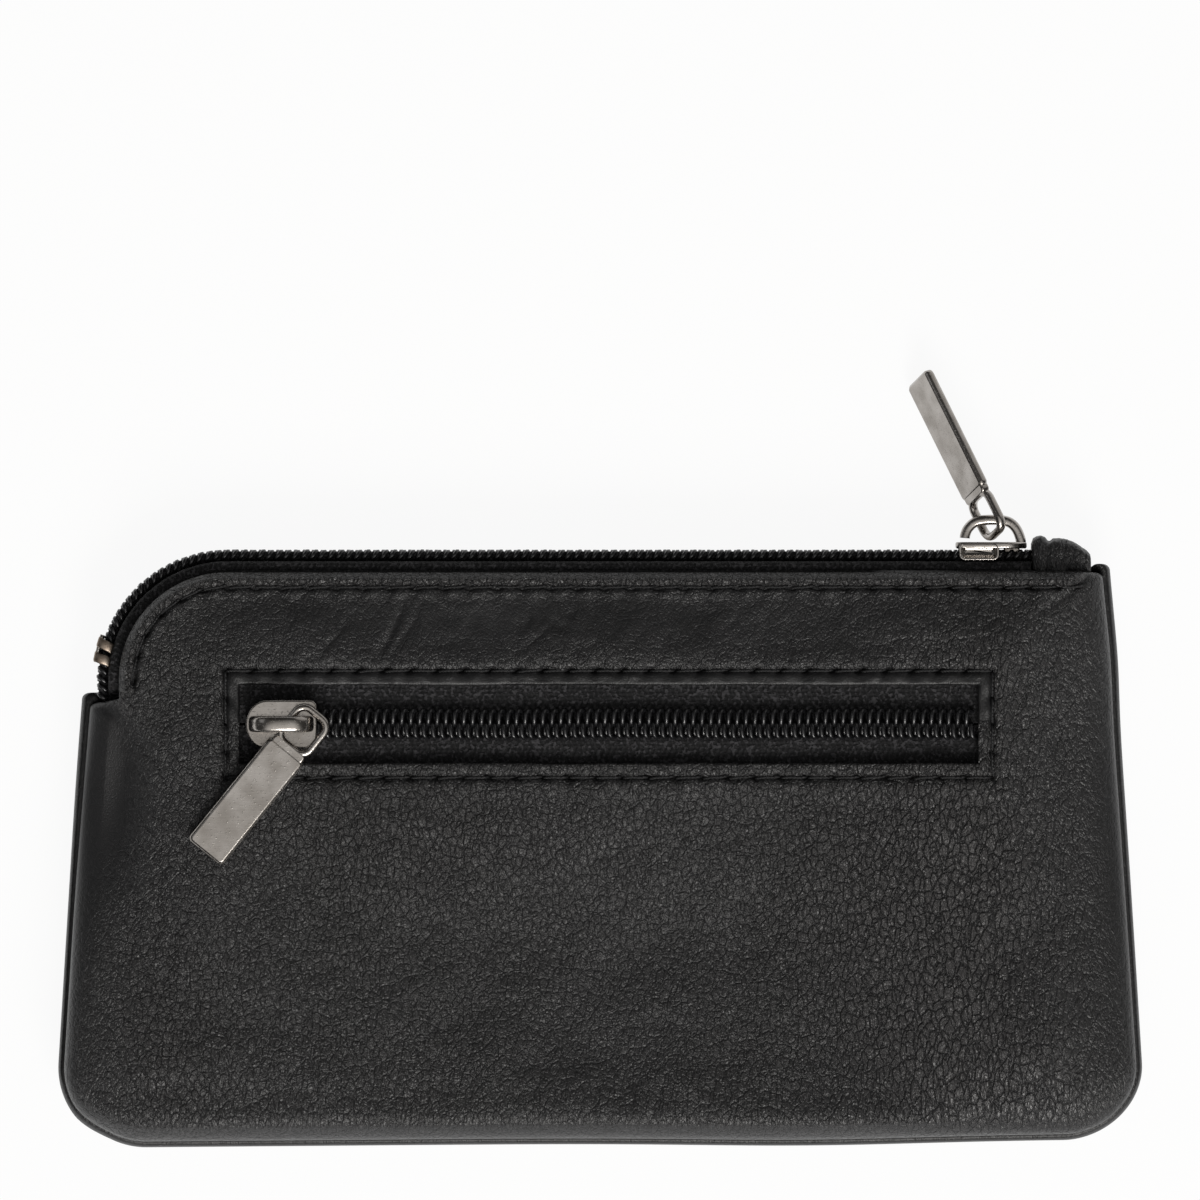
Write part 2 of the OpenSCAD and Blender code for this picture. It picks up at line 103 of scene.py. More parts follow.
class Nodes:
    """The nodes of one tree, each added with its settings first and then its sockets."""

    def __init__(self, tree):
        self.tree = tree
        tree.nodes.clear()

    def add(self, kind, settings=None, values=None, output=0):
        node = self.tree.nodes.new(kind)
        for name, value in (settings or {}).items():
            setattr(node, name, value)
        for key, value in (values or {}).items():
            if isinstance(value, Wire):
                self.tree.links.new(value.socket, node.inputs[key])
            else:
                node.inputs[key].default_value = value
        return Wire(self, node.outputs[output]) if node.outputs else node

    def vector(self, operation, values, output=0):
        return self.add("ShaderNodeVectorMath", {"operation": operation}, values, output)


class Finish(Nodes):
    """The finish of a surface, as a material."""

    def __init__(self, name):
        self.material = bpy.data.materials.new(name)
        self.material.use_nodes = True
        super().__init__(self.material.node_tree)

    def place(self):
        """Object coordinates, in millimetres."""
        return self.vector("SCALE", {0: self.add("ShaderNodeTexCoord", output=3), "Scale": 1 / mm})

    def axes(self, at):
        """The x and the y of a place."""
        return [self.add("ShaderNodeSeparateXYZ", {}, {0: at}, i) for i in (0, 1)]

    def along(self, name):
        """A vector that the piece's own mesh carries."""
        return self.add("ShaderNodeAttribute", {"attribute_name": name}, output=1)

    def level(self, name):
        """A number that the piece's own mesh carries."""
        return self.add("ShaderNodeAttribute", {"attribute_name": name}, output=2)

    def clouds(self, at, scale, detail=2.0, output=0):
        values = {"Vector": at, "Scale": scale, "Detail": detail}
        return self.add("ShaderNodeTexNoise", {}, values, output)

    def cells(self, at, scale, feature="F1"):
        return self.add("ShaderNodeTexVoronoi", {"feature": feature}, {"Vector": at, "Scale": scale})

    def moved(self, at, by, amount):
        """The place pushed about by a coloured noise."""
        centred = self.vector("SUBTRACT", {0: by, 1: (0.5, 0.5, 0.5)})
        return self.vector("ADD", {0: at, 1: self.vector("SCALE", {0: centred, "Scale": amount})})

    def blend(self, share, a, b):
        """The colour a where share is 0 and b where it is 1."""
        return self.add("ShaderNodeMix", {"data_type": "RGBA"}, {0: share, 6: a, 7: b}, 2)

    def end(self, shader):
        self.add("ShaderNodeOutputMaterial", {}, {"Surface": shader})
        return self.material

    def skin(self, colour, roughness, height=None, **fixed):
        """Ends the tree in a shader with a height in millimetres and fixed values."""
        values = {"Base Color": colour, "Roughness": roughness}
        values.update({name.replace("_", " "): value for name, value in fixed.items()})
        if height is not None:
            relief = {"Strength": 1.0, "Distance": mm, "Height": height}
            values["Normal"] = self.add("ShaderNodeBump", {}, relief)
        return self.end(self.add("ShaderNodeBsdfPrincipled", {}, values))


def table_finish():
    """White where it is looked at, but keeping a soft shadow."""
    table = Finish("table")
    by_camera, in_gloss, through_glass = [table.add("ShaderNodeLightPath", output=i) for i in (0, 3, 6)]
    seen = by_camera.maths("MAXIMUM", in_gloss).maths("MAXIMUM", through_glass)
    board = table.add("ShaderNodeBsdfPrincipled", {}, {"Base Color": (0.86, 0.86, 0.85, 1), "Roughness": 0.8})
    glow = table.add("ShaderNodeEmission", {}, {"Color": (1, 1, 1, 1), "Strength": 1.0})
    return table.end(table.add("ShaderNodeMixShader", {}, {0: seen * 0.93, 1: board, 2: glow}))


def mesh_of(name, points, faces, edges=()):
    mesh = bpy.data.meshes.new(name)
    mesh.from_pydata([tuple(p) for p in points], edges, faces)
    return mesh


def shown_as(name, data):
    """A new object in the scene."""
    thing = bpy.data.objects.new(name, data)
    bpy.context.scene.collection.objects.link(thing)
    return thing


def table():
    half, drop = 8.0, cad_box[0].z - 0.05 * mm
    corners = ((-half, -half), (half, -half), (half, half), (-half, half))
    mesh = mesh_of("table", [(x, y, drop) for x, y in corners], [(0, 1, 2, 3)])
    mesh.materials.append(table_finish())
    board = shown_as("table", mesh)


def lamp(name, place, size, power, tint):
    """A square lamp of some size that faces the purse."""
    light = bpy.data.lights.new(name, "AREA")
    light.shape, light.size, light.energy, light.color = "SQUARE", size, power, tint
    fixture = shown_as(name, light)
    fixture.location = place
    fixture.rotation_euler = (-Vector(place)).to_track_quat("-Z", "Y").to_euler()


def room():
    """A dim room with a pale ceiling beyond the purse's bottom edge and a pale wall past its right end."""
    ceiling, wall = (0.12, -0.48, 0.87), (0.71, 0.66, 0.24)
    world = bpy.data.worlds.new("room")
    bpy.context.scene.world = world
    world.use_nodes = True
    air = Nodes(world.node_tree)
    way = air.add("ShaderNodeTexCoord", output=0)
    above, beside = [air.vector("DOT_PRODUCT", {0: way, 1: pale}, 1) for pale in (ceiling, wall)]
    light = above.rise(0.62, 1.0) * 0.95 + beside.rise(0.84, 0.97) * 0.55 + 0.06
    sky = air.add("ShaderNodeBackground", {}, {"Color": (1.0, 0.985, 0.965, 1), "Strength": light})
    air.add("ShaderNodeOutputWorld", {}, {"Surface": sky})


camera = shown_as("camera", bpy.data.cameras.new("camera"))
camera.data.sensor_width = 36
camera.data.lens = camera.data.sensor_width * view_distance / view_width
camera.location = (0, view_y, seam_z * mm + view_distance)
bpy.context.scene.camera = camera
bpy.context.scene.view_settings.view_transform = "Standard"
table()
room()
lamp("broad_lamp", (0.25, -0.95, 1.0), 0.6, 15, (1.0, 0.98, 0.95))
lamp("side_lamp", (-1.1, 0.5, 0.9), 0.6, 0.5, (0.95, 0.97, 1.0))


# The black leather: two panels of drummed hide with a pebbled grain, sewn face to face
# round the sides and the bottom and turned out, so that each rolls in to the seam. Their
# edges at the mouth are folded under and stitched, and the front has the pocket's window.
half_bottom_w = back_high.x / mm
body_h = 72
lean = 4.4 / body_h
front_depth, back_depth, leather_t = 6, 8, 1.1
left_r, right_r, right_lift, sharp_r = 10, 9, 1.1, 0.8
mouth_r, mouth_half, mouth_end_x = 13.5, 3.3, 61
corner_x, corner_y = -46.5, body_h - mouth_r
shoulder_y = 57
back_rim = 0.8    # how far the back stands out past the front
side_roll, mouth_roll = 10, 8
window_x, window_y, window_l, window_h = 1.1, 53.1, 92.2, 9.9
window_margin = 1.7    # from the window's edge to its stitches
stitch_inset, stitch_pitch, corner_stitches = 1.8, 3.34, 6
shown_step, hidden_step = 0.42, 2.5


def unit(v):
    return v / np.linalg.norm(v)


def rounded(before, at, after, radius, steps):
    """Points round a corner of a path, or the corner itself in no steps."""
    if steps == 0:
        return [at]
    u, v = unit(before - at), unit(after - at)
    half = math.acos(np.clip(u @ v, -1, 1)) / 2
    middle = at + unit(u + v) * radius / math.sin(half)
    start = at + u * radius / math.tan(half) - middle
    turn = (math.pi - 2 * half) * (-1 if u[0] * v[1] - u[1] * v[0] > 0 else 1)
    first = math.atan2(start[1], start[0])
    angles = [first + turn * i / steps for i in range(steps + 1)]
    return [middle + radius * np.array([math.cos(a), math.sin(a)]) for a in angles]


def left_x(y):
    return lean * y - half_bottom_w


def panel_corners(side, top, droop):
    """The panel's corners as x, y, radius, steps and share of the mouth's gap."""
    turn_x = corner_x - mouth_r + top
    high = body_h - top
    return [(left_x(side) + side, side, max(left_r - side, 0.6), 30, 0),
            (-left_x(side) - side, side + right_lift, max(right_r - side, 0.6), 28, 0),
            (-left_x(high) - side, high, sharp_r, 4, 0),
            (mouth_end_x - side, high, 0, 0, 1),
            (turn_x, high, mouth_r - top, 42, 1),
            (turn_x, shoulder_y - side + 0.1 * droop, 0, 0, 1),
            (left_x(shoulder_y) + side, shoulder_y - side - droop, sharp_r, 4, 0)]


def panel_ring(side, top, droop=0.0, step=0.46):
    """The panel's outline, drawn in by some distance, as x, y and share of the mouth's gap."""
    corners = panel_corners(side, top, droop)
    whole = np.array(panel_corners(0, 0, 0), float)[:, :2]
    n = len(corners)
    bends = []
    for i, (_, _, radius, steps, share) in enumerate(corners):
        at = [np.array(corners[k % n][:2], float) for k in (i - 1, i, i + 1)]
        bends.append([np.array([*p, share]) for p in rounded(*at, radius, steps)])
    ring = []
    for i, bend in enumerate(bends):
        start, end = bend[-1], bends[(i + 1) % n][0]
        count = max(int(np.linalg.norm(whole[(i + 1) % n] - whole[i]) / step), 1)
        ring += bend + [start + (end - start) * k / count for k in range(1, count)]
    return np.array(ring)


def window_ring(out, step=0.4):
    """Points round the window's edge, moved outwards."""
    x, y = window_l / 2 + out, window_h / 2 + out
    nx, ny = int(window_l / step), int(window_h / step)
    across, up = np.linspace(-x, x, nx, endpoint=False), np.linspace(-y, y, ny, endpoint=False)
    ring = [(p, -y) for p in across] + [(x, p) for p in up]
    ring += [(-p, y) for p in across] + [(-x, -p) for p in up]
    return np.array(ring) + (window_x, window_y)


def within(points, loop):
    """Which points lie inside a closed loop."""
    x, y = points.T
    odd = np.zeros(len(points), bool)
    for (x0, y0), (x1, y1) in zip(loop, np.roll(loop, -1, axis=0)):
        if y0 != y1:
            odd ^= ((y0 > y) != (y1 > y)) & (x < (x1 - x0) * (y - y0) / (y1 - y0) + x0)
    return odd


def flat_tree(points):
    """Finds which of some points are nearest to a place, as seen from above."""
    tree = kdtree.KDTree(len(points))
    for i, p in enumerate(points):
        tree.insert((p[0], p[1], 0), i)
    tree.balance()
    return tree


def bulged(points):
    """Drawn in towards the middle, more so further out, which makes straight sides bulge."""
    out = points - (0, body_h / 2)
    return out * (1 - 3e-5 * (out ** 2).sum(1))[:, None]


def filled(outside, hole, step):
    """Points between two loops, and the triangles over the loops' points and those."""
    loops = np.vstack([outside, hole]) if hole is not None else outside
    tree = flat_tree(loops)
    low, high = outside.min(0), outside.max(0)
    rows = np.arange(low[1] + step / 2, high[1], step * 0.87)
    field = [(x + (r % 2) * step / 2, y) for r, y in enumerate(rows)
             for x in np.arange(low[0] + step / 2, high[0], step)]
    field = np.array([p for p in field if tree.find((p[0], p[1], 0))[2] > 0.55 * step])
    field = field[within(field, outside)]
    n, m = len(outside), len(loops) - len(outside)
    edges = [(i, (i + 1) % n) for i in range(n)] + [(n + i, n + (i + 1) % m) for i in range(m)]
    given = np.vstack([loops, field])
    drawn = bulged(given)
    _, _, faces, origin, _, _ = delaunay_2d_cdt([Vector(p) for p in drawn], edges, [], 0, 1e-7, True)
    number = np.array([o[0] for o in origin])
    faces = number[np.array(faces)]
    middles = drawn[faces].mean(1)
    kept = within(middles, drawn[:n])
    if hole is not None:
        kept &= ~within(middles, drawn[n:n + m])
    faces = faces[kept]
    used = np.unique(faces[faces >= n + m])
    again = np.concatenate([np.arange(n + m), np.zeros(len(field), int)])
    again[used] = n + m + np.arange(len(used))
    return given[used], [tuple(f) for f in again[faces].tolist()]


class Shell:
    """Points in millimetres with faces, gathered ring by ring."""

    def __init__(self):
        self.points, self.faces = [], []

    def ring(self, points, height=None):
        """Adds points, or flat ones at a height, and says where they start."""
        start = len(self.points)
        self.points += [tuple(p) if height is None else (*p, height) for p in points]
        return start

    def bands(self, starts, n):
        """Faces between each ring of n points and the next one in."""
        for a, b in zip(starts, starts[1:]):
            self.faces += [(a + i, a + (i + 1) % n, b + (i + 1) % n, b + i) for i in range(n)]

    def fill(self, outside, start, hole, hole_start, height, step, turn=1):
        """Faces over a flat field inside a ring, and round a hole if there is one. The turn is
        -1 where they look down."""
        field, triangles = filled(outside, hole, step)
        number = list(range(start, start + len(outside)))
        for first in hole_start:
            number += list(range(first, first + len(hole)))
        first = self.ring(field, height)
        number += list(range(first, first + len(field)))
        self.faces += [tuple(number[v] for v in f[::turn]) for f in triangles]


def in_metres(points):
    return np.asarray(points, float) * mm + (0, bottom * mm, 0)


def outwards(mesh):
    """Turns every face of a closed mesh outwards."""
    form = bmesh.new()
    form.from_mesh(mesh)
    bmesh.ops.recalc_face_normals(form, faces=form.faces)
    form.to_mesh(mesh)
    form.free()


def smooth(name, points, faces):
    """A smooth object with its faces outwards, from points in metres."""
    mesh = mesh_of(name, points, faces)
    outwards(mesh)
    mesh.polygons.foreach_set("use_smooth", [True] * len(mesh.polygons))
    return shown_as(name, mesh)


def made(name, points, faces, material):
    """A piece in its place and its material."""
    piece = smooth(name, in_metres(points), faces)
    piece.data.materials.append(material)
    return piece


def carried(piece, name, values):
    """Gives every point of a piece a vector or a number for its finish to read."""
    values = np.asarray(values, np.float32)
    kind, field = ("FLOAT_VECTOR", "vector") if values.ndim == 2 else ("FLOAT", "value")
    piece.data.attributes.new(name, kind, "POINT").data.foreach_set(field, values.ravel())


def on_body(piece, body, slot, *nodes):
    """Fixes a finished piece to its body in place of its CAD nodes."""
    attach(piece, body)
    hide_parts(*nodes)


def eased(value, low, high):
    """0 below low and 1 above high, with a smooth rise between them."""
    t = np.clip((value - low) / (high - low), 0, 1)
    return t * t * (3 - 2 * t)


def mound(value, middle, reach):
    """1 at the middle value, and falling away to either side of it."""
    return np.exp(-((value - middle) / reach) ** 2)


def hills(x, y, rows):
    """Soft swells and hollows, each as x, y, reach along x and y, and height."""
    return sum(h * mound(x, cx, rx) * mound(y, cy, ry) for cx, cy, rx, ry, h in rows)


def bent_line(x, y, start, end, bow, width):
    """How near each place is to a bowed line, from 0 to 1."""
    start, end = np.array(start, float), np.array(end, float)
    normal = np.array([start[1] - end[1], end[0] - start[0]])
    t = np.linspace(0, 1, 25)[:, None]
    line = start + (end - start) * t + normal * bow * 4 * t * (1 - t)
    fade = np.sin(np.pi * np.clip(t[:, 0], 0.06, 0.94))
    nearness = np.zeros(len(x))
    for (px, py), f in zip(line, fade):
        nearness = np.maximum(nearness, f * np.exp(-((x - px) ** 2 + (y - py) ** 2) / width ** 2))
    return nearness


def noisy(x, y, sx, sy, seed):
    """Smooth noise at each place, stretched by sx and sy."""
    return np.array([noise.noise(Vector((a * sx, b * sy, seed))) for a, b in zip(x, y)])


def stitch_relief(distance, phase, pitch):
    """The groove that a row of stitches pulls in, with a pit at each needle hole."""
    hole = (phase - np.round(phase)) * pitch
    groove = -0.20 * mound(distance, 0, 0.22)
    pits = -0.75 * mound(distance, 0, 0.40) * mound(hole, distance * 0.9, 0.48)
    pucker = 0.18 * mound(np.abs(distance), 0.75, 0.5) * np.sin(np.pi * phase) ** 2
    return groove + pits + pucker


def mouth_phase(x, y):
    """Stitches counted along the mouth from the start of its corner."""
    round_corner = -np.arctan2(corner_x - x, y - corner_y) / (math.pi / 2) * corner_stitches
    return np.where(x > corner_x, (x - corner_x) / stitch_pitch, round_corner)


def window_relief(x, y):
    """The stitched border of the window."""
    dx = np.abs(x - window_x) - window_l / 2 - window_margin
    dy = np.abs(y - window_y) - window_h / 2 - window_margin
    out = np.maximum(dx, dy)
    across, up = window_l + 2 * window_margin, window_h + 2 * window_margin
    count = np.where(dy > dx, round(across / stitch_pitch), round(up / stitch_pitch))
    run = np.where(dy > dx, (x - window_x) / across, (y - window_y) / up) + 0.5
    sewn = stitch_relief(out, run * count, 3.3)
    border = 0.30 * np.clip(-out / 1.6, 0, 1) - 0.15 * mound(out, -1.72, 0.12)
    beside = 0.22 * mound(out, 1.5, 1.2)
    return np.where(out > -1.9, sewn + border + beside, 0)


def pressed(x, y):
    """What is left of the front's fullness where its sides are pressed flat."""
    left = 0.45 * eased(-x, 54, 65) * mound(y, 44, 11)
    return 1 - left - 0.22 * eased(x, 51, 66) * eased(-y, -66, -52)


def leather_panel(front):
    """A panel as a closed shell: its points, its faces, how many points show, and for each of
    those how far in it lies from the edge and its share of the mouth's gap."""
    shell = Shell()
    depth, rim, droop = (front_depth, back_rim, 0.6) if front else (back_depth, 0.0, 0.0)
    under = depth - leather_t

    def roll(within, a, mouth, high):
        """The outline part way through the roll, some distance within the leather."""
        side = rim + within + (side_roll - within) * (1 - math.cos(a))
        ring = panel_ring(side, (mouth_roll - within) * (1 - math.cos(a)), droop)
        start = ring[:, 2] * mouth
        return np.column_stack([ring[:, :2], start + (high - start) * math.sin(a) ** 0.55]), ring[:, 2]

    by_stitches = [math.acos(1 - d / mouth_roll) for d in (1.2, 1.4, 1.55, 1.68, 1.8, 1.92, 2.05, 2.25, 2.5)]
    inset, share, outer = [], [], []
    for a in sorted({*np.linspace(0, math.pi / 2, 33), *by_stitches}):
        points, part = roll(0, a, mouth_half + leather_t, depth)
        x, y, z = points.T
        tuck = 0.4 * np.clip(1 - z / 0.7, 0, 1) ** 2
        x -= np.sign(x) * tuck * (np.abs(x) > 55)
        y += tuck * (y < 8)
        outer.append(shell.ring(points))
        inset += [mouth_roll * (1 - math.cos(a))] * len(points)
        share += list(part)
    n = len(points)
    shell.bands(outer, n)
    window, hole = [], None
    if front:
        outs = [window_margin + d for d in (1.0, 0.7, 0.45, 0.25, 0.1, 0, -0.1, -0.25)]
        outs += [1.2, 0.95, 0.7, 0.45, 0.25, 0.1, 0.02]
        hole = window_ring(outs[0])
        window = [shell.ring(window_ring(out), depth) for out in outs]
        shell.bands(window, len(hole))
    shell.fill(points[:, :2], outer[-1], hole, window[:1], depth, shown_step)
    shown = len(shell.points)
    inset += [99.0] * (shown - len(inset))
    share += [0.0] * (shown - len(share))

    inner = []
    for a in np.radians([0, 20, 40, 60, 90]):
        points, _ = roll(leather_t, a, mouth_half, under)
        inner.append(shell.ring(points))
    hem = 0.5 * (np.array(shell.points[outer[0]:outer[0] + n]) + shell.points[inner[0]:inner[0] + n])
    hem[:, 1] += 0.25 * panel_ring(0, 0)[:, 2] * eased(hem[:, 0], corner_x - 5, corner_x + 3)
    shell.bands([*inner[::-1], shell.ring(hem), outer[0]], n)
    lip, low = None, []
    if front:
        lip = window_ring(0.0)
        low = [shell.ring(window_ring(-0.08), depth - 0.35), shell.ring(lip, under)]
        shell.bands([window[-1], *low], len(lip))
    shell.fill(points[:, :2], inner[-1], lip, low[1:], under, hidden_step, -1)

    points = np.array(shell.points)
    x, y = points[:, :2].T.copy()
    if front:
        points[:, 2] *= pressed(x, y)
    fuller = (1.0 + 0.4 * mound(y, 62, 7)) * (0.35 + 0.65 * eased(y, 0, 11))
    points[:, 0] += fuller * eased(x, 58, 66) - eased(-x, 61, 65) * eased(-y, -58.4, -57.2)
    points[:, 1] -= 0.45 * mound(x, 26, 20) * eased(-y, -8, -1)
    return points, shell.faces, shown, np.array(inset), np.array(share)


def shaped(points, faces, shown, lift):
    """The shell's points moved out along their normals by lift, where they show."""
    mesh = mesh_of("shape", points, faces)
    normals = np.zeros(len(points) * 3, np.float32)
    mesh.vertices.foreach_get("normal", normals)
    bpy.data.meshes.remove(mesh)
    points[:shown] += normals.reshape(-1, 3)[:shown] * lift[:, None]
    return points


front_hills = [
    (2, 24, 28, 15, -1.6), (-12, 42, 24, 7, 0.5),       # the sunk middle, and the swell over it
    (-61.3, 46, 3.6, 11, -3.2), (-50, 30, 7, 14, 0.5),  # a hollow along the left edge, and beside it
    (-58, 8, 7, 7, 0.6), (52, 14, 12, 8, 0.9),          # the bottom corners
    (43, 46, 13, 19, 0.5), (48, 64, 9, 5, 0.5),         # the swell on the right
    (38, 6, 16, 12, -0.8), (58, 33, 5, 15, -0.6)]
# Creases over the window, under it, and along the sides: start, end, bow, width and depth.
front_creases = [
    ((-24.6, 68.5), (-28.8, 60.2), 0.06, 0.45, 0.35), ((-22.6, 67.5), (-26.4, 61.5), 0.05, 0.35, 0.2),
    ((-31.5, 66.5), (-35.5, 62.0), 0.10, 0.35, 0.15), ((-5.3, 66.2), (-11.0, 61.7), 0.03, 0.35, 0.15),
    ((18.0, 67.8), (15.3, 64.4), 0.03, 0.3, 0.12), ((-26.2, 33.5), (-29.8, 25.0), 0.05, 0.4, 0.2),
    ((-21.0, 38.0), (-24.8, 32.6), 0.08, 0.4, 0.2), ((-33.0, 41.5), (-34.5, 33.0), 0.06, 0.4, 0.2),
    ((6.0, 37.0), (3.8, 31.0), 0.08, 0.35, 0.12), ((-54.5, 41.0), (-56.5, 22.0), 0.05, 0.6, 0.3),
    ((-52.0, 30.0), (-54.0, 18.0), -0.05, 0.5, 0.25), ((-57.5, 33.0), (-59.0, 24.0), 0.05, 0.5, 0.25),
    ((51.5, 60.0), (50.2, 47.0), 0.04, 0.5, 0.18)]


def front_swell(x, y, inset):
    """How far the front swells up or sinks, with a ridge along the bottom seam."""
    swell = hills(x, y, front_hills) * np.clip((inset - 1.5) / 6, 0, 1)
    ridge = 0.95 * mound(y, 2.8, 3.2) * eased(-x, -48, -34) * np.clip(inset / 1.5, 0, 1)
    return swell + ridge - 0.8 * eased(y, 61.5, 69.5) * eased(x, -56, -44) * eased(-x, -48, -26)


def front_relief(x, y, inset, share):
    """The front's relief, with its window and its creases."""
    creases = sum(depth * bent_line(x, y, *line) for *line, depth in front_creases)
    return window_relief(x, y) + hide_relief(x, y, inset, share, 3.0) - creases


def sunk(x, y):
    """How far the front is pressed in."""
    return np.minimum(hills(x, y, front_hills), 0)


def hide_relief(x, y, inset, share, seed):
    """The sewn mouth, pleats along the bottom seam, fine wrinkles and the hide's own swell."""
    sewn = stitch_relief(inset - stitch_inset, mouth_phase(x, y), stitch_pitch)
    bead = 0.38 * mound(inset, 0.95, 0.55)
    mouth = (sewn + bead) * np.clip(share * 2, 0, 1) * (y > shoulder_y) * eased(-x, -61.6, -60.6)
    pleats = noisy(x, y, 0.9, 0.18, seed) * 0.5 * mound(y, 3.5, 3.5)
    lines = 1 - np.clip(np.abs(noisy(x + 0.25 * y, y, 0.42, 0.13, seed + 2)) / 0.07, 0, 1)
    swell = noisy(x, y, 0.13, 0.13, seed + 4) * 0.35 + noisy(x, y, 0.5, 0.42, seed + 6) * 0.10
    calm = np.clip((inset - 2.2) / 3, 0, 1)
    return mouth + (pleats - 0.13 * lines + swell) * calm


def back_relief(x, y, inset, share):
    """The back's relief, a little hollow inside its rolled edge."""
    return hide_relief(x, y, inset, share, 11.0) - 0.25 * np.clip((inset - 2) / 5, 0, 1)


def grain_of(piece, x, y, z, grain_and_light_level):
    """Gives a leather piece the run of its grain and its grain level, which sets the grain's depth and also
    paints light and shade into the leather's colour.
    """
    up = 0.92 * y + 2.4 * np.exp(-np.clip(y, 0, None) / 6) - 0.22 * (y - 30) * eased(x, 12, 50)
    carried(piece, "grain_at", np.column_stack([1.28 * x, up, z]))
    # The grain level also paints light and shade: where it is higher the pebble tops are painted lighter,
    # where lower the leather is painted darker.
    carried(piece, "grain", np.clip(grain_and_light_level, 0, 1.15))


def leather_finish():
    """Black hide: domed pebbles with painted shade in their cracks, tops lighter partly from wear and partly
    as painted light, and fine pores.
    """
    hide = Finish("black_leather")
    at, grain_and_light_level = hide.along("grain_at"), hide.level("grain")
    loose = hide.moved(at, hide.clouds(at, 0.7, 2.0, 1), 1.1)
    gap = hide.cells(loose, 0.92, "DISTANCE_TO_EDGE")
    dome = hide.cells(loose, 0.92)
    small = hide.cells(hide.moved(at, hide.clouds(at, 1.6, 1.0, 1), 0.5), 2.4, "DISTANCE_TO_EDGE")
    crack = gap.rise(0.0, 0.16)
    fine = small.rise(0.0, 0.22)
    grit = hide.clouds(at, 6.0, 3.0)
    broad = hide.clouds(at, 0.05, 2.0)
    pebble = crack * 0.075 + (1 - dome * dome) * 0.06
    height = pebble * grain_and_light_level * 1.7 + fine * (grain_and_light_level * 0.06 + 0.01) + grit * 0.05
    # Painted shade and light: the cracks are painted dark as shade, and the pebble tops lighter, partly as
    # wear and partly as painted light where the grain level is high.
    painted_light_and_wear = hide.blend(crack * grain_and_light_level * grain_and_light_level * 0.85 + 0.06 * fine,
                      (0.0036, 0.0036, 0.0039, 1), (0.044, 0.0425, 0.0425, 1))
    tone = hide.blend(broad.rise(0.3, 0.7) * 0.35, painted_light_and_wear, (0.017, 0.0166, 0.0178, 1))
    rough = 0.40 - crack * grain_and_light_level * 0.10 + grit * 0.10 - broad * 0.06
    return hide.skin(tone, rough, height)


leather = leather_finish()
points, faces, shown, inset, share = leather_panel(True)
px, py = points[:shown, :2].T.copy()
points = shaped(points, faces, shown, front_relief(px, py, inset, share))
points[:shown, 2] += front_swell(px, py, inset)
inside = points[shown:]
inside[:, 2] += sunk(inside[:, 0], inside[:, 1]) * eased(inside[:, 2], 2.0, 4.5)
points[:, 2] += seam_z
front_leather = made("front_leather", points, faces, leather)
# The front's grain level: partly a real change in the grain's depth, partly painted light and shade in the
# colour, lighter on the right swell, the bottom corners and the mouth's rolled edge, darker in the top band,
# the left hollow, the side strips and along the bottom.
grain_and_painted_light = 0.55 + 0.5 * (inset < 1.8) * (share > 0.5) + hills(px, py, [
    (42, 29, 14, 19, 0.7), (-57, 13, 8, 14, 0.3), (-22, 40, 18, 6, 0.25), (48, 60, 9, 6, 0.3),
    (48, 9, 12, 6, 0.45), (-8, 66, 50, 5.0, -0.45), (-61, 46, 4, 12, -0.6), (0, 12, 18, 9, -0.1),
    (-5, 3, 38, 4, -0.1), (64, 36, 5, 26, -0.45), (-65, 30, 4, 30, -0.4)])
rise = py - window_y
# Painted shade, with a smoother grain, over the window's top border up to its stitches.
grain_and_painted_light[(rise > 0) & (rise < window_h / 2 + window_margin) & (np.abs(px - window_x) < 48)] = 0.05
grain_of(front_leather, *points.T, np.append(grain_and_painted_light, np.full(len(inside), 0.3)))
on_body(front_leather, "purse", "leather", "front_panel")

points, faces, shown, inset, share = leather_panel(False)
px, py = points[:shown, :2].T.copy()
points = shaped(points, faces, shown, back_relief(px, py, inset, share))
x, y, z = points.T
z[:] = np.clip(seam_z - z, 0, None)
y += 1.1 * eased(x, 60.6, 62.2) * eased(y, 62, 71.5)
back_leather = made("back_leather", points, [f[::-1] for f in faces], leather)
# The back's rim within 3 mm of the seam gets a low grain level: a smoother grain, and painted shade in the
# groove beside the front.
grain_of(back_leather, x + 200, y, z, np.where(z > seam_z - 3, 0.1, 0.6))
on_body(back_leather, "purse", "leather", "back_panel")


# The pocket's zip: two strips of woven tape behind the window, each with a coil of nylon
# filament woven along its edge. The strips ripple a little between their stitches, and the
# two coils lock into each other down the middle.
tooth_pitch, filament_r = 1.1, 0.30
pocket_tape_top = 12.8


def curve_through(points, steps):
    """A smooth path through some points, with so many steps from each to the next."""
    p = np.array(points, float)
    p = np.vstack([2 * p[0] - p[1], p, 2 * p[-1] - p[-2]])
    t = np.linspace(0, 1, steps, endpoint=False)[:, None]
    path = [b + 0.5 * t * (c - a + t * (2 * a - 5 * b + 4 * c - d + t * (3 * b - a - 3 * c + d)))
            for a, b, c, d in zip(p, p[1:], p[2:], p[3:])]
    return np.vstack([*path, p[-2:-1]])


def oval(across, up, count, squareness=2.0):
    """A round section, or a squarer one, as across and up."""
    a = np.arange(count) * 2 * math.pi / count
    bend = [np.sign(f) * np.abs(f) ** (2 / squareness) for f in (np.cos(a), np.sin(a))]
    return np.column_stack([across * bend[0], up * bend[1]])


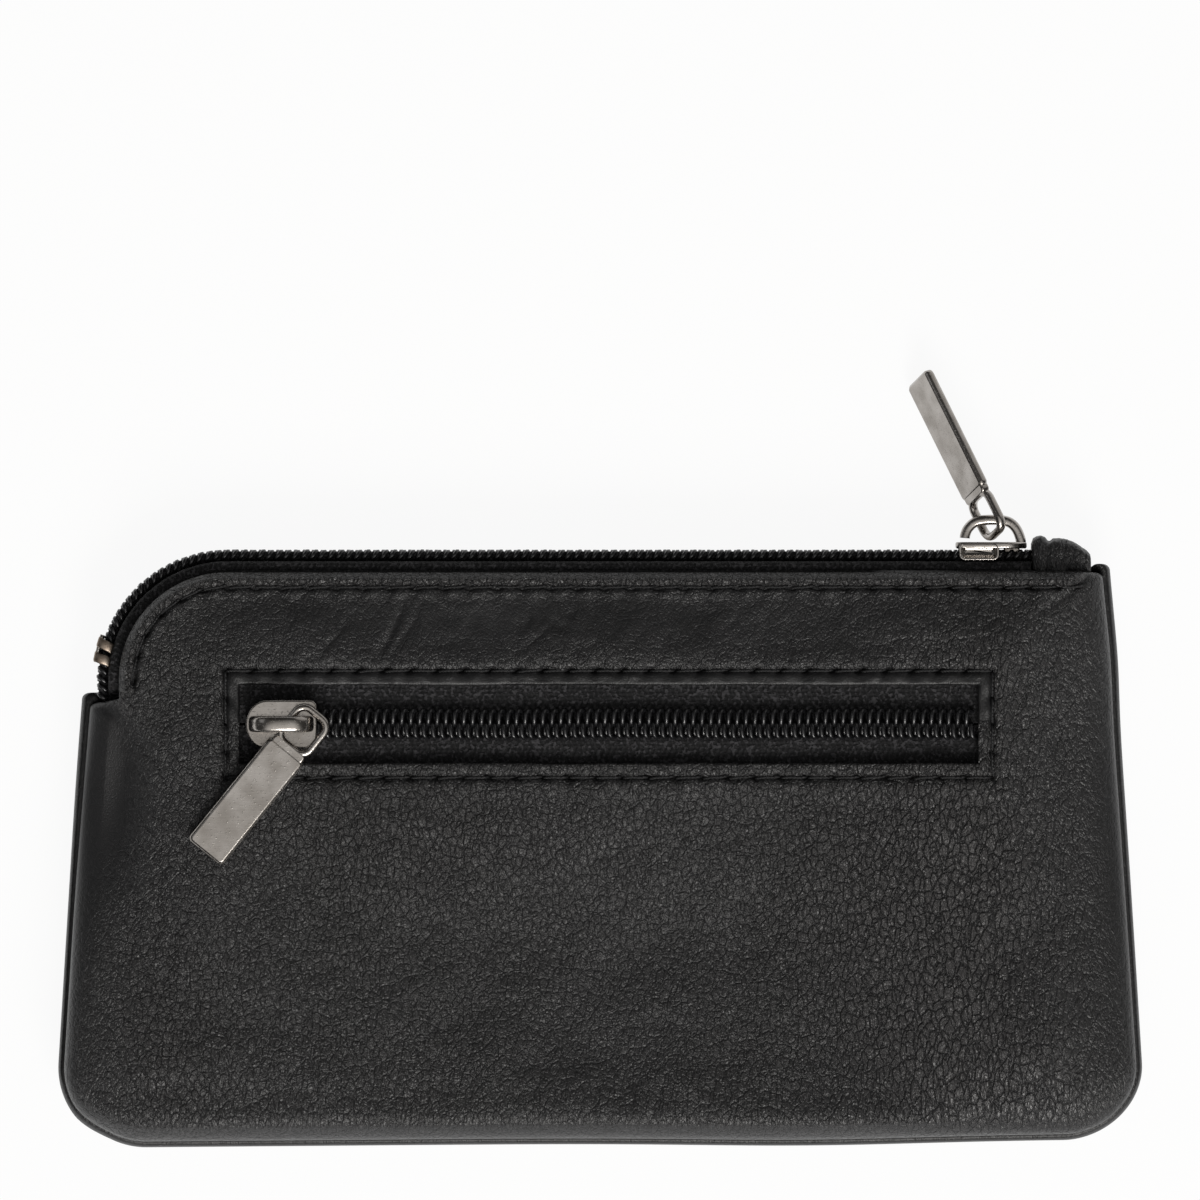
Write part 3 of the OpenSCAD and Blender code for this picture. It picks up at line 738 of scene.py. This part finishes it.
def tube(n, m, closed=False):
    """Faces over n rings of m points each, with the ends closed unless the last meets the first."""
    faces = [(i * m + k, i * m + (k + 1) % m, (i + 1) % n * m + (k + 1) % m, (i + 1) % n * m + k)
             for i in range(n if closed else n - 1) for k in range(m)]
    return faces if closed else faces + [tuple(range(m))[::-1], tuple(range((n - 1) * m, n * m))]


def swept(path, section, side, closed=False):
    """A section carried along a path, with its across kept towards a side."""
    path, side = np.asarray(path, float), np.array(side, float)
    ahead = np.roll(path, -1, axis=0) - np.roll(path, 1, axis=0)
    if not closed:
        ahead[0], ahead[-1] = path[1] - path[0], path[-1] - path[-2]
    points = []
    for at, way in zip(path, ahead):
        way = unit(way)
        across = unit(side - way * (side @ way))
        up = np.cross(way, across)
        points += [at + across * a + up * b for a, b in section]
    return points, tube(len(path), len(section), closed)


def joined(*parts):
    """Closed forms put together as one list of points and one of faces."""
    points, faces = [], []
    for some, their in parts:
        faces += [tuple(v + len(points) for v in f) for f in their]
        points += [tuple(p) for p in some]
    return points, faces


def row_tree():
    """Sets a shape at each point of a path, turned along it and facing one way."""
    tree = bpy.data.node_groups.new("row_along_path", "GeometryNodeTree")
    for name, kind in (("Path", "Geometry"), ("Shape", "Object"), ("Facing", "Vector"), ("Sway", "Float"),
                       ("Seed", "Int"), ("Finish", "Material"), ("Row", "Geometry")):
        way = "OUTPUT" if name == "Row" else "INPUT"
        tree.interface.new_socket(name=name, in_out=way, socket_type="NodeSocket" + kind)
    row = Nodes(tree)
    given = row.add("NodeGroupInput")
    path = row.add("GeometryNodeMeshToCurve", {}, {0: given})
    chance = row.add("FunctionNodeRandomValue", {"data_type": "FLOAT_VECTOR"},
                     {0: (-1, -1, -1), 1: (1, 1, 1), "Seed": given.out("Seed")})
    sway = row.vector("SCALE", {0: chance, "Scale": given.out("Sway")})
    lean_by = row.add("FunctionNodeEulerToRotation", {}, {0: sway})
    ahead = row.add("GeometryNodeInputTangent")
    way = row.add("FunctionNodeAxesToRotation", {"primary_axis": "Z", "secondary_axis": "X"},
                  {"Primary Axis": given.out("Facing"), "Secondary Axis": ahead})
    turn = row.add("FunctionNodeRotateRotation", {"rotation_space": "LOCAL"}, {0: way, 1: lean_by})
    shape = row.add("GeometryNodeObjectInfo", {}, {"Object": given.out("Shape")})
    placed = row.add("GeometryNodeInstanceOnPoints", {},
                     {"Points": path, "Instance": shape.out("Geometry"), "Rotation": turn})
    solid = row.add("GeometryNodeRealizeInstances", {}, {0: placed})
    finished = row.add("GeometryNodeSetMaterial", {}, {"Geometry": solid, "Material": given.out("Finish")})
    row.add("NodeGroupOutput", {}, {0: finished})
    return tree


row_along_path = row_tree()


def settled(thing):
    """The mesh that an object's modifiers make."""
    return bpy.data.meshes.new_from_object(thing.evaluated_get(bpy.context.evaluated_depsgraph_get()))


def row_of(name, places, shape, facing, sway, seed, finish):
    """A piece made of one shape repeated along paths."""
    points, edges = [], []
    for path in places:
        edges += [(len(points) + i, len(points) + i + 1) for i in range(len(path) - 1)]
        points += [*in_metres(path)]
    path = shown_as(name + "_path", mesh_of(name + "_path", points, [], edges))
    nodes = path.modifiers.new("row", "NODES")
    nodes.node_group = row_along_path
    values = {"Shape": shape, "Facing": facing, "Sway": sway, "Seed": seed, "Finish": finish}
    for item in row_along_path.interface.items_tree:
        if item.name in values:
            nodes[item.identifier] = values[item.name]
    bpy.context.view_layer.update()
    piece = shown_as(name, settled(path))
    bpy.data.objects.remove(path)
    return piece


def tooth(hand):
    """One turn of a coil: along the row, away from the middle, and up from the tape."""
    turn = [(-0.30, 1.50, 0.31), (-0.29, 0.75, 0.30), (-0.20, 0.10, 0.42), (0.0, -0.12, 0.75),
            (0.02, 0.10, 1.10), (0.04, 0.75, 1.22), (0.10, 1.38, 1.21), (0.28, 1.68, 1.02),
            (0.50, 1.73, 0.70), (0.70, 1.66, 0.42), (0.80, 1.50, 0.31)]
    turn = np.array([(hand * x, -up, out) for x, out, up in turn])
    points, faces = swept(turn, oval(filament_r, filament_r, 6), (1, 0.05, 0.05))
    return smooth("tooth", np.array(points) * mm, faces)


def coil_finish():
    """Black nylon filament, lighter in rubbed patches, with its gloss varied by fine marks."""
    nylon = Finish("black_nylon_coil")
    at = nylon.place()
    rubbed = nylon.clouds(at, 0.6, 2.0)
    marks = nylon.clouds(at, 5.0, 2.0)
    colour = nylon.blend(rubbed, (0.005, 0.005, 0.006, 1), (0.013, 0.013, 0.014, 1))
    return nylon.skin(colour, 0.19 + marks * 0.14, marks * 0.02, Specular_IOR_Level=0.6)


def tape_finish():
    """Black herringbone tape, dull, with a fuzz of broken fibres."""
    tape = Finish("black_woven_tape")
    u, v = tape.axes(tape.along("weave_at"))
    zigzag = (v * 0.7).maths("PINGPONG", 1.0)
    rib = (u * 9.0 + zigzag * 5.0).maths("SINE")
    pick = (v * 12.0).maths("SINE")
    fuzz = tape.clouds(tape.place(), 2.3, 3.0).rise(0.47, 0.61)
    height = rib * 0.03 + pick * 0.015 + fuzz * 0.14
    share = rib * 0.12 + fuzz * 0.85
    colour = tape.blend(share, (0.0035, 0.0035, 0.004, 1), (0.048, 0.047, 0.050, 1))
    return tape.skin(colour, 0.72 + fuzz * 0.15, height, Specular_IOR_Level=0.3)


def strip(name, rings, weave, node):
    """A strip of tape through rings of points, with the run of its weave at each point."""
    tape = made(name, [p for ring in rings for p in ring], tube(len(rings), len(rings[0])), tape_cloth)
    carried(tape, "weave_at", weave)
    on_body(tape, "purse", "zip_tape", node)


nylon, tape_cloth = coil_finish(), tape_finish()
left_tooth, right_tooth = tooth(1), tooth(-1)
pocket_teeth = int(window_l / tooth_pitch) - 1
along = (np.arange(pocket_teeth) - (pocket_teeth - 1) / 2) * tooth_pitch + window_x
for side, name, shape, lag in ((1, "upper", left_tooth, 0.0), (-1, "lower", right_tooth, 0.55)):
    run = [(x + lag, window_y + 0.05 * math.sin(x * 0.21 + 1.0), pocket_tape_top) for x in along]
    coil = row_of("pocket_coil_row_" + name, [run[::side]], shape, (0, side, 0), 0.03, 4 + side, nylon)
    on_body(coil, "purse", "zip_coil", "pocket_coil_" + name)

    steps = np.linspace(-window_l / 2 - 4, window_l / 2 + 4, 241) + window_x
    under = [(0.12, -0.05), (0.12, -0.35), (0.4, -0.5), (2.7, -0.5), (4.0, -0.5), (7.2, -0.5)]
    section = under + [(7.4, -0.4), (7.4, -0.1)]
    section += [(out, 0.0) for out in (7.2, 6.0, 5.0, 4.2, 3.4, 2.7, 2.2, 1.6, 0.4)]
    rings = []
    for x in steps:
        rings.append([])
        for out, up in section:
            ripple = 0.16 * math.sin(x * 1.5 + side) * mound(out, 4.0, 1.2)
            ripple += 0.12 * noise.noise(Vector((x * 0.7, out * 0.4, side))) * mound(out, 4.0, 2.0)
            ripple = min(max(ripple, -0.08 if out < 3 else -0.3), 0.05)
            rings[-1].append((x, window_y + side * out, pocket_tape_top + up + ripple))
    weave = [(x, *spot) for x in steps for spot in section]
    strip("pocket_tape_strip_" + name, rings, weave, "pocket_tape_" + name)


# The pocket's bag: two pieces of thin black cotton, one sewn to the upper tape and one to
# the lower, and sewn to each other round the sides and the bottom.
bag_half_w, bag_bottom, lining_t = 51.1, 13, 0.3
sheet_step = 1.6


def lining_finish():
    """Thin black cotton in a plain weave, dusty in patches."""
    cotton = Finish("black_cotton_lining")
    at = cotton.place()
    u, v = cotton.axes(at)
    thread = (u * 11.0).maths("SINE") * (v * 11.0).maths("SINE")
    dust = cotton.clouds(at, 0.25, 4.0)
    share = thread * 0.2 + dust * 0.8
    colour = cotton.blend(share, (0.010, 0.010, 0.011, 1), (0.034, 0.033, 0.032, 1))
    return cotton.skin(colour, 0.85 - dust * 0.1, thread * 0.04 + dust * 0.2, Specular_IOR_Level=0.25)


def cloth(name, loop, level, rests_on, node):
    """A sheet of lining cut to a loop and laid over a height."""
    field, triangles = filled(loop, None, sheet_step)
    flat = np.vstack([loop, field])
    points = np.column_stack([flat, level(flat[:, 0], flat[:, 1])])
    sheet = made(name, points, triangles, cotton)
    wall = sheet.modifiers.new("thickness", "SOLIDIFY")
    wall.thickness, wall.offset = lining_t * mm, 0
    sheet.data = settled(sheet)
    sheet.modifiers.clear()
    outwards(sheet.data)
    on_body(sheet, "purse", "lining", node)


def rounded_box(x0, y0, x1, y1, radius, steps=5):
    c = [np.array(p, float) for p in ((x0, y0), (x1, y0), (x1, y1), (x0, y1))]
    return [p for i in range(4) for p in rounded(c[i - 1], c[i], c[(i + 1) % 4], radius, steps)]


def bag_loop(top):
    """The bag's outline with round corners."""
    box = rounded_box(window_x - bag_half_w, bag_bottom, window_x + bag_half_w, top, 4.0, 6)
    loop = []
    for a, b in zip(box, box[1:] + box[:1]):
        count = max(int(np.linalg.norm(b - a) / sheet_step), 1)
        loop += [a + (b - a) * k / count for k in range(count)]
    return np.array(loop)


def back_bag_height(x, y):
    return 7.6 + 4.45 * eased(y, 59.6, 61.0) + 0.06 * noisy(x, y, 0.2, 0.2, 21)


def front_bag_height(x, y):
    inset = np.minimum(bag_half_w - np.abs(x - window_x), y - bag_bottom)
    return 8.05 + (4.5 + sunk(x, y)) * eased(inset, 0, 3.0) - 0.12 * np.abs(noisy(x, y, 0.15, 0.2, 23))


cotton = lining_finish()
for name, top, level, tape in (("back", window_y + 8.2, back_bag_height, "upper"),
                               ("front", 45.55, front_bag_height, "lower")):
    cloth("pocket_bag_cloth_" + name, bag_loop(top), level, ["pocket_tape_strip_" + tape],
          "pocket_bag_" + name)


# The stitches round the window, which sew the leather, the tapes and the bag together: a
# thick waxed thread, with each stitch pulled down into the leather at both ends.
thread_r = 0.18


def stitch_shape(length):
    """One stitch, with x along it and z up."""
    half = length / 2
    end = [(-half, -0.10, -0.45), (-half * 0.86, -0.07, -0.16), (-half * 0.45, 0.0, 0.02)]
    path = curve_through([*end, (0, 0.03, 0.05), *[(-x, -y, z) for x, y, z in end[::-1]]], 2)
    points, faces = swept(path, oval(thread_r, thread_r, 8), (0, 1, 0))
    return smooth("stitch", np.array(points) * mm, faces)


def thread_finish():
    """Black waxed thread of three plies."""
    thread = Finish("black_thread")
    at = thread.place()
    wax = thread.clouds(at, 1.2, 2.0)
    plies = thread.add("ShaderNodeTexWave", {"bands_direction": "DIAGONAL"},
                       {"Vector": at, "Scale": 1.3, "Distortion": 1.5, "Detail": 1.0}, 1)
    colour = thread.blend(plies * 0.6 + wax * 0.4, (0.005, 0.005, 0.0055, 1), (0.020, 0.020, 0.021, 1))
    return thread.skin(colour, 0.55 + wax * 0.15, plies * 0.08, Specular_IOR_Level=0.4)


def surface_of(piece, outward):
    """Finds the height of a panel's outer face at a place."""
    spots = np.empty(len(piece.data.vertices) * 3)
    piece.data.vertices.foreach_get("co", spots)
    spots = spots.reshape(-1, 3) / mm - (0, bottom, 0)
    spots = spots[(spots[:, 2] - seam_z) * outward > 3.6]
    tree = flat_tree(spots)

    def height(x, y):
        near = [spots[i][2] for _, i, _ in tree.find_n((x, y, 0), 3)]
        return max(near) if outward > 0 else min(near)
    return height


def stitched(name, rows, panel, outward, seed, node):
    """Rows of stitches laid on a panel."""
    height = surface_of(panel, outward)
    places = [[(x, y, height(x, y) - outward * 0.03) for x, y in row] for row in rows]
    if outward < 0:
        places = [row[::-1] for row in places]
    seam = row_of(name, places, stitch, (0, 0, outward), 0.06, seed, thread)
    on_body(seam, "purse", "thread", node)


thread = thread_finish()
stitch = stitch_shape(2.9)
reach_x, reach_y = window_l / 2 + window_margin, window_h / 2 + window_margin


def middles(centre, reach):
    """The middle of each stitch of a row that reaches to both sides of its centre."""
    count = round(2 * reach / stitch_pitch)
    return centre + ((np.arange(count) + 0.5) / count * 2 - 1) * reach


rows = [[(x, window_y + side * reach_y) for x in middles(window_x, reach_x)] for side in (-1, 1)]
rows += [[(window_x + side * reach_x, y) for y in middles(window_y, reach_y)] for side in (-1, 1)]
stitched("window_thread", rows, front_leather, 1, 7, "window_stitches")


# The main zip, which runs along the top and round the left corner: on each side a tape
# that stands on edge, with its coil outside and its web sewn in under the leather, and a
# metal stop clenched over both coils at the left end.
tape_r, coil_h = 14.9, 1.5
tab_x = 53.9
straight_l = tab_x + 4 - corner_x
bend_l = (tape_r + coil_h) * math.pi / 2
mouth_length = straight_l + bend_l + 1.4


def mouth_point(s, r):
    """The place at distance s along the mouth from its right end, at radius r of its corner."""
    if s < straight_l:
        return corner_x + straight_l - s, corner_y + r
    if s < straight_l + bend_l:
        a = math.pi / 2 * (1 + (s - straight_l) / bend_l)
        return corner_x + r * math.cos(a), corner_y + r * math.sin(a)
    return corner_x - r, corner_y - (s - straight_l - bend_l)


for side, name in ((1, "front"), (-1, "back")):
    reach = np.arange(0.6, mouth_length + 0.7, tooth_pitch) + tooth_pitch / 4 * side
    run = [(*mouth_point(s, tape_r - 0.02), seam_z) for s in reach]
    coil = row_of("main_coil_row_" + name, [run[::side]], left_tooth, (0, 0, side), 0.035, 9 + side, nylon)
    on_body(coil, "purse", "zip_coil", "main_coil_" + name)
    reach = np.arange(0.6, mouth_length + 1, 0.7)
    core = [(*mouth_point(s, tape_r + 0.62), seam_z + side * 0.95) for s in reach]
    round_cord = oval(0.55, 0.62, 8, 3)
    cord = made("main_coil_cord_" + name, *swept(core, round_cord, (0, 0, 1)), tape_cloth)
    carried(cord, "weave_at", np.array(core).repeat(len(round_cord), axis=0))
    on_body(cord, "purse", "zip_coil", "main_coil_" + name)

    section = [(14.35, 0.03), (14.35, 1.2), (14.35, 2.5), (14.2, 2.68), (13.0, 2.7), (10.0, 2.7)]
    section += [(7.1, 2.7), (7.1, 3.2), (10.0, 3.2), (13.0, 3.2), (13.6, 3.2), (14.2, 3.2)]
    section += [(14.6, 3.12), (14.82, 2.9), (tape_r, 2.6), (tape_r, 2.2), (tape_r, 1.2), (tape_r, 0.03)]
    rings, weave = [], []
    for s in np.arange(4.1, mouth_length + 1.4, 0.45):
        rings.append([])
        pinch = 1 - 0.7 * eased(s, mouth_length - 0.6, mouth_length + 1.0)
        for k, (r, out) in enumerate(section):
            slack = 0.07 * noise.noise(Vector((s * 0.8, r * 0.6, side))) if 9 < k < 15 else 0
            rings[-1].append((*mouth_point(s, r + slack), seam_z + side * (out + slack) * pinch))
            weave.append((s, k * 0.6, side))
    strip("main_tape_strip_" + name, rings, weave, "main_tape_" + name)


def metal_finish(name, dull, bright, roughness):
    """Plated metal, duller in handled patches and finely scratched."""
    metal = Finish(name)
    at = metal.place()
    handled = metal.clouds(at, 0.35, 3.0)
    specks = metal.clouds(at, 3.5, 3.0).rise(0.58, 0.72)
    drawn = metal.add("ShaderNodeMapping", {},
                      {"Vector": at, "Rotation": (0, 0, 0.9), "Scale": (0.5, 7.0, 2.0)})
    height = metal.clouds(drawn, 1.0, 2.0) * 0.006 + specks * 0.008
    colour = metal.blend(handled.rise(0.3, 0.75), bright, dull)
    return metal.skin(colour, roughness + handled * 0.14 + specks * 0.12, height, Metallic=1.0)


nickel = metal_finish("satin_nickel", (0.29, 0.268, 0.245, 1), (0.43, 0.405, 0.38, 1), 0.14)
tarnished = metal_finish("tarnished_nickel", (0.17, 0.13, 0.10, 1), (0.36, 0.31, 0.26, 1), 0.3)


def slab(outline, profile):
    """An outline given thickness, by a profile of how far it is drawn in at each height."""
    outline = np.array(outline, float)
    before, after = outline - np.roll(outline, 1, axis=0), np.roll(outline, -1, axis=0) - outline
    normals = []
    for a, b in zip(before, after):
        a, b = unit(a), unit(b)
        normals.append(np.array([a[1] + b[1], -a[0] - b[0]]) / max(1 + a @ b, 0.4))
    points = [(*p, z) for inset, z in profile for p in outline - np.array(normals) * inset]
    return points, tube(len(profile), len(outline))


def soft_edges(low, high, bevel):
    """A slab's profile with rounded edges and flat faces."""
    turn = [(bevel * (1 - math.sin(a)), bevel * (1 - math.cos(a))) for a in np.radians([0, 22, 45, 68, 90])]
    under = [(inset, low + up) for inset, up in turn]
    over = [(inset, high - up) for inset, up in turn[::-1]]
    flat = bevel + 0.05
    return [(flat, low)] + under + over + [(flat, high)]


def turned(part, place):
    """A part with each point moved by a function."""
    return [place(*p) for p in part[0]], part[1]


def clamp_at(turn, r, out):
    """A place on the stop, from degrees round the mouth's corner, radius and distance from the seam."""
    a = math.radians(turn)
    return corner_x + r * math.cos(a), corner_y + r * math.sin(a), seam_z + out


stop_mid, stop_half, strap_r = 166, 6.0, 16.62
strap = [clamp_at(a, strap_r, 0) for a in np.linspace(stop_mid - stop_half, stop_mid + stop_half, 13)]
parts = [swept(strap, oval(2.6, 0.30, 16, 5), (0, 0, 1))]
claw = [(strap_r, 1.9), (16.72, 2.35), (16.4, 2.62), (15.7, 2.66), (15.1, 2.45), (14.95, 2.2)]
for turn in (stop_mid - 3.3, stop_mid + 3.1):
    along = math.radians(turn + 90)
    for side in (1, -1):
        path = [clamp_at(turn + 0.15 * k, r, side * out) for k, (r, out) in enumerate(curve_through(claw, 3))]
        parts.append(swept(path, oval(0.62, 0.24, 12, 4), (math.cos(along), math.sin(along), 0)))
stop = made("bottom_stop_clamp", *joined(*parts), nickel)
stop.data.materials.append(tarnished)
for face in stop.data.polygons:
    face.material_index = 0 if face.index < len(parts[0][1]) else 1
on_body(stop, "purse", "metal", "main_bottom_stop")


# The linings: a thin black cotton for each side of the main compartment, sewn in under the
# tape at the mouth and caught in the side seams.
whole = panel_ring(0, 0)
sides, mouth = flat_tree(whole[whole[:, 2] < 0.5]), flat_tree(whole[whole[:, 2] >= 0.5])


def distance(tree, x, y):
    """How far each place is from the nearest of a tree's points."""
    return np.array([tree.find((a, b, 0))[2] for a, b in zip(x, y)])


def front_lining_height(x, y):
    raised = eased(y, 62.9, 64.6) * eased(distance(sides, x, y), 3.0, 6.0)
    return 7.2 + 3.2 * raised + 0.05 * noisy(x, y, 0.15, 0.15, 31)


def back_lining_height(x, y):
    by_sides = 1.05 + 5.45 * np.sqrt(1 - (1 - np.clip(distance(sides, x, y) / side_roll, 0, 1)) ** 2)
    by_mouth = 2.45 + 4.05 * eased(distance(mouth, x, y), 6.9, 9.5)
    return seam_z - np.minimum(by_sides, by_mouth) - 0.10 * np.abs(noisy(x, y, 0.12, 0.18, 33))


for name, inset, level in (("front", 1.8, front_lining_height), ("back", 2.2, back_lining_height)):
    cloth("lining_cloth_" + name, panel_ring(inset, 3.1, 0, 1.5)[:, :2], level,
          [name + "_leather"], name + "_lining")


# The stitches along the mouth, one row through each panel's folded edge, its tape and its
# lining, from the tab round the left corner.
mouth_stitch_r = mouth_r - stitch_inset
mouth_end = int((mouth_end_x - 0.2 - corner_x) / stitch_pitch)
straight = [(corner_x + (i + 0.5) * stitch_pitch, corner_y + mouth_stitch_r) for i in range(mouth_end)[::-1]]
bend = [math.pi / 2 * (1 + (i + 0.5) / corner_stitches) for i in range(corner_stitches)]
corner = [(corner_x + mouth_stitch_r * math.cos(a), corner_y + mouth_stitch_r * math.sin(a)) for a in bend]
for name, panel, outward in (("front", front_leather, 1), ("back", back_leather, -1)):
    stitched("mouth_thread_" + name, [straight + corner], panel, outward, 12, "mouth_stitches_" + name)


# The end tab: a strip of the same leather folded over the right end of the zip, with a
# rolled ridge against the chain and its cut end lapped over it.
tab_end = 61.3
tab_top = [(tab_x, 75.6), (54.1, 76.2), (54.5, 76.5), (55.1, 76.6), (55.6, 76.45), (55.95, 76.0),
           (56.2, 75.95), (56.6, 76.25), (57.3, 76.3), (58.3, 76.15), (59.2, 75.8), (60.1, 75.25),
           (60.8, 74.75), (61.2, 74.35), (tab_end, 73.9)]
tab_width = [(tab_x, 2.6), (54.2, 3.05), (54.9, 3.3), (55.6, 3.2), (56.0, 2.95), (56.4, 3.15), (57.5, 3.25),
             (60.8, 3.2), (61.2, 3.0), (tab_end, 2.6)]
points = []
steps, around = np.linspace(tab_x, tab_end, 75), 48
for x in steps:
    top, half = np.interp(x, *zip(*tab_top)), np.interp(x, *zip(*tab_width))
    low = 69.4 if x < 58.2 else 71.6
    for a in 2 * math.pi * np.arange(around) / around:
        bend = [math.copysign(abs(f) ** 0.5, f) for f in (math.cos(a), math.sin(a))]
        y, z = (top + low) / 2 + (top - low) / 2 * bend[0], half * bend[1]
        seed = Vector((x * 1.1, y * 0.5, z * 0.9))
        crease = noise.noise(seed) * 0.16 + noise.noise(seed * 2.7) * 0.06
        grow = crease * min(1, max(0, (y - 71) / 1.5))
        points.append((x, y + grow * bend[0], seam_z + z + grow * bend[1]))
tab = made("end_tab_leather", points, tube(len(steps), around), leather)
x, y, z = np.array(points).T
grain_of(tab, x, y + z, z, np.full(len(points), 0.5))
on_body(tab, "purse", "leather", "zip_end_tab")


# The two sliders, cast in nickel-plated zinc: a top plate with a flange down each side, a
# smaller plate under the tape, a wedge between them, and a crown for the pull. The main
# slider's crown is an open hook.
slider_l, slider_w, keel_w = 8.9, 6.0, 5.0
plate_z, plate_t = 1.6, 0.8
keel_top = -0.6


def plate_outline(width):
    """Straight sides, round tail corners and a round nose, which points along +X."""
    tail_x, half = -slider_l / 2, width / 2
    ends = [np.array(p, float) for p in ((0, half), (tail_x, half), (tail_x, -half), (0, -half))]
    tail_end = [rounded(ends[0], ends[1], ends[2], 0.9, 6), rounded(ends[1], ends[2], ends[3], 0.9, 6)]
    nose = [np.array([slider_l / 2 - half * 0.9 + 0.9 * half * math.cos(a), half * math.sin(a)])
            for a in np.radians(np.arange(-90, 91, 10))]
    return [*tail_end[0], *tail_end[1], *nose]


def slider_parts(crown):
    """A slider on its chain, with z from the tape's face, and its crown along a path."""
    wedge = rounded_box(1.55, -0.25, 3.55, 0.25, 0.2, 3)
    shell = [slab(plate_outline(slider_w), soft_edges(plate_z, plate_z + plate_t, 0.22)),
             slab(plate_outline(keel_w), soft_edges(keel_top - plate_t, keel_top, 0.22)),
             slab(wedge, soft_edges(keel_top - 0.4, plate_z + 0.4, 0.05))]
    dished = [(0.26, 3.0), (0.34, 2.95), (0.5, 2.72), (0.78, 2.52), (1.0, 2.48)]
    flange = rounded_box(-4.1, 0.1, 0.95, plate_z + 0.75, 0.75)
    flange = slab(flange, soft_edges(2.25, 3.0, 0.14)[:-1] + dished)
    for side in (-1, 1):
        shell.append(turned(flange, lambda x, y, z: (x, side * z, y)))
    shell.append(swept(curve_through(crown, 6), oval(1.0, 0.64, 20, 3.2), (0, 1, 0)))
    return joined(*shell)


hook = [(3.75, 0, 2.1), (3.6, 0, 3.0), (3.1, 0, 4.1), (2.3, 0, 4.85), (1.1, 0, 5.15), (-0.9, 0, 5.15),
        (-2.1, 0, 4.85), (-2.9, 0, 4.1), (-3.25, 0, 3.3), (-3.3, 0, 2.9)]
half_arch = [(3.45, 0, 2.1), (3.4, 0, 3.1), (3.05, 0, 4.1), (2.3, 0, 4.8), (1.1, 0, 5.15)]
arch = [(-x, 0, z) for x, _, z in half_arch] + half_arch[::-1]
main_slider_x, pocket_slider_x = 48.9, -39.7


def on_top(x, y, z):
    return main_slider_x + x, corner_y + tape_r + z, seam_z - y


def on_front(x, y, z):
    return pocket_slider_x - x, window_y + y, pocket_tape_top + z


for name, crown, place in (("main_slider", hook, on_top), ("pocket_slider", arch, on_front)):
    slider = made(name + "_casting", *turned(slider_parts(crown), place), nickel)
    on_body(slider, name, "metal", name)


# The two pulls, also plated zinc: a ring that hangs in the crown, and a flat bar with
# bevelled edges.
eye_l, eye_w, eye_bar_d = 4.3, 3.5, 0.95
pull_l, pull_w, pull_t = 22.7, 5.5, 1.3


def pull_parts():
    """A pull along +X, with the middle of the ring's bar at the origin."""
    half_ring = eye_w / 2 + eye_bar_d / 2
    far = eye_l + eye_bar_d
    ring = [(*p, 0) for p in rounded_box(0, -half_ring, far, half_ring, 1.35, 8)]
    start, end = far - 0.35, pull_l - eye_bar_d / 2
    face = pull_t / 2
    bevel = [(0.45, face), (0.40, face), (0.34, face - 0.02), (0.05, face - 0.26), (0.0, face - 0.34)]
    bevelled = [(inset, -z) for inset, z in bevel] + bevel[::-1]
    bar = slab(rounded_box(start + 0.75, -pull_w / 2, end, pull_w / 2, 0.7, 6), bevelled)
    root = slab(rounded_box(start, -pull_w / 2 + 0.35, start + 1.4, pull_w / 2 - 0.35, 0.6, 5),
                soft_edges(-face + 0.08, face - 0.08, 0.25))
    return joined(swept(ring, oval(0.56, eye_bar_d / 2, 14, 2.4), (0, 0, 1), closed=True), root, bar)


def hung(place, turn, shift=0.0):
    """Turns a pull about its ring's bar and sets it in its crown."""
    spin = Euler([math.radians(a) for a in turn]).to_matrix()
    return lambda x, y, z: spin @ Vector((x - shift, y, z)) + Vector(place)


for name, place in (("main_pull", hung((49.5, 76.95, 8.3), (123, 13, 116))),
                    ("pocket_pull", hung((-36.3, 53.1, 16.35), (0, 3, 231), 1.605))):
    pull = made(name + "_casting", *turned(pull_parts(), place), nickel)
    on_body(pull, name, "metal", name)

for thing in (left_tooth, right_tooth, stitch):
    bpy.data.objects.remove(thing)
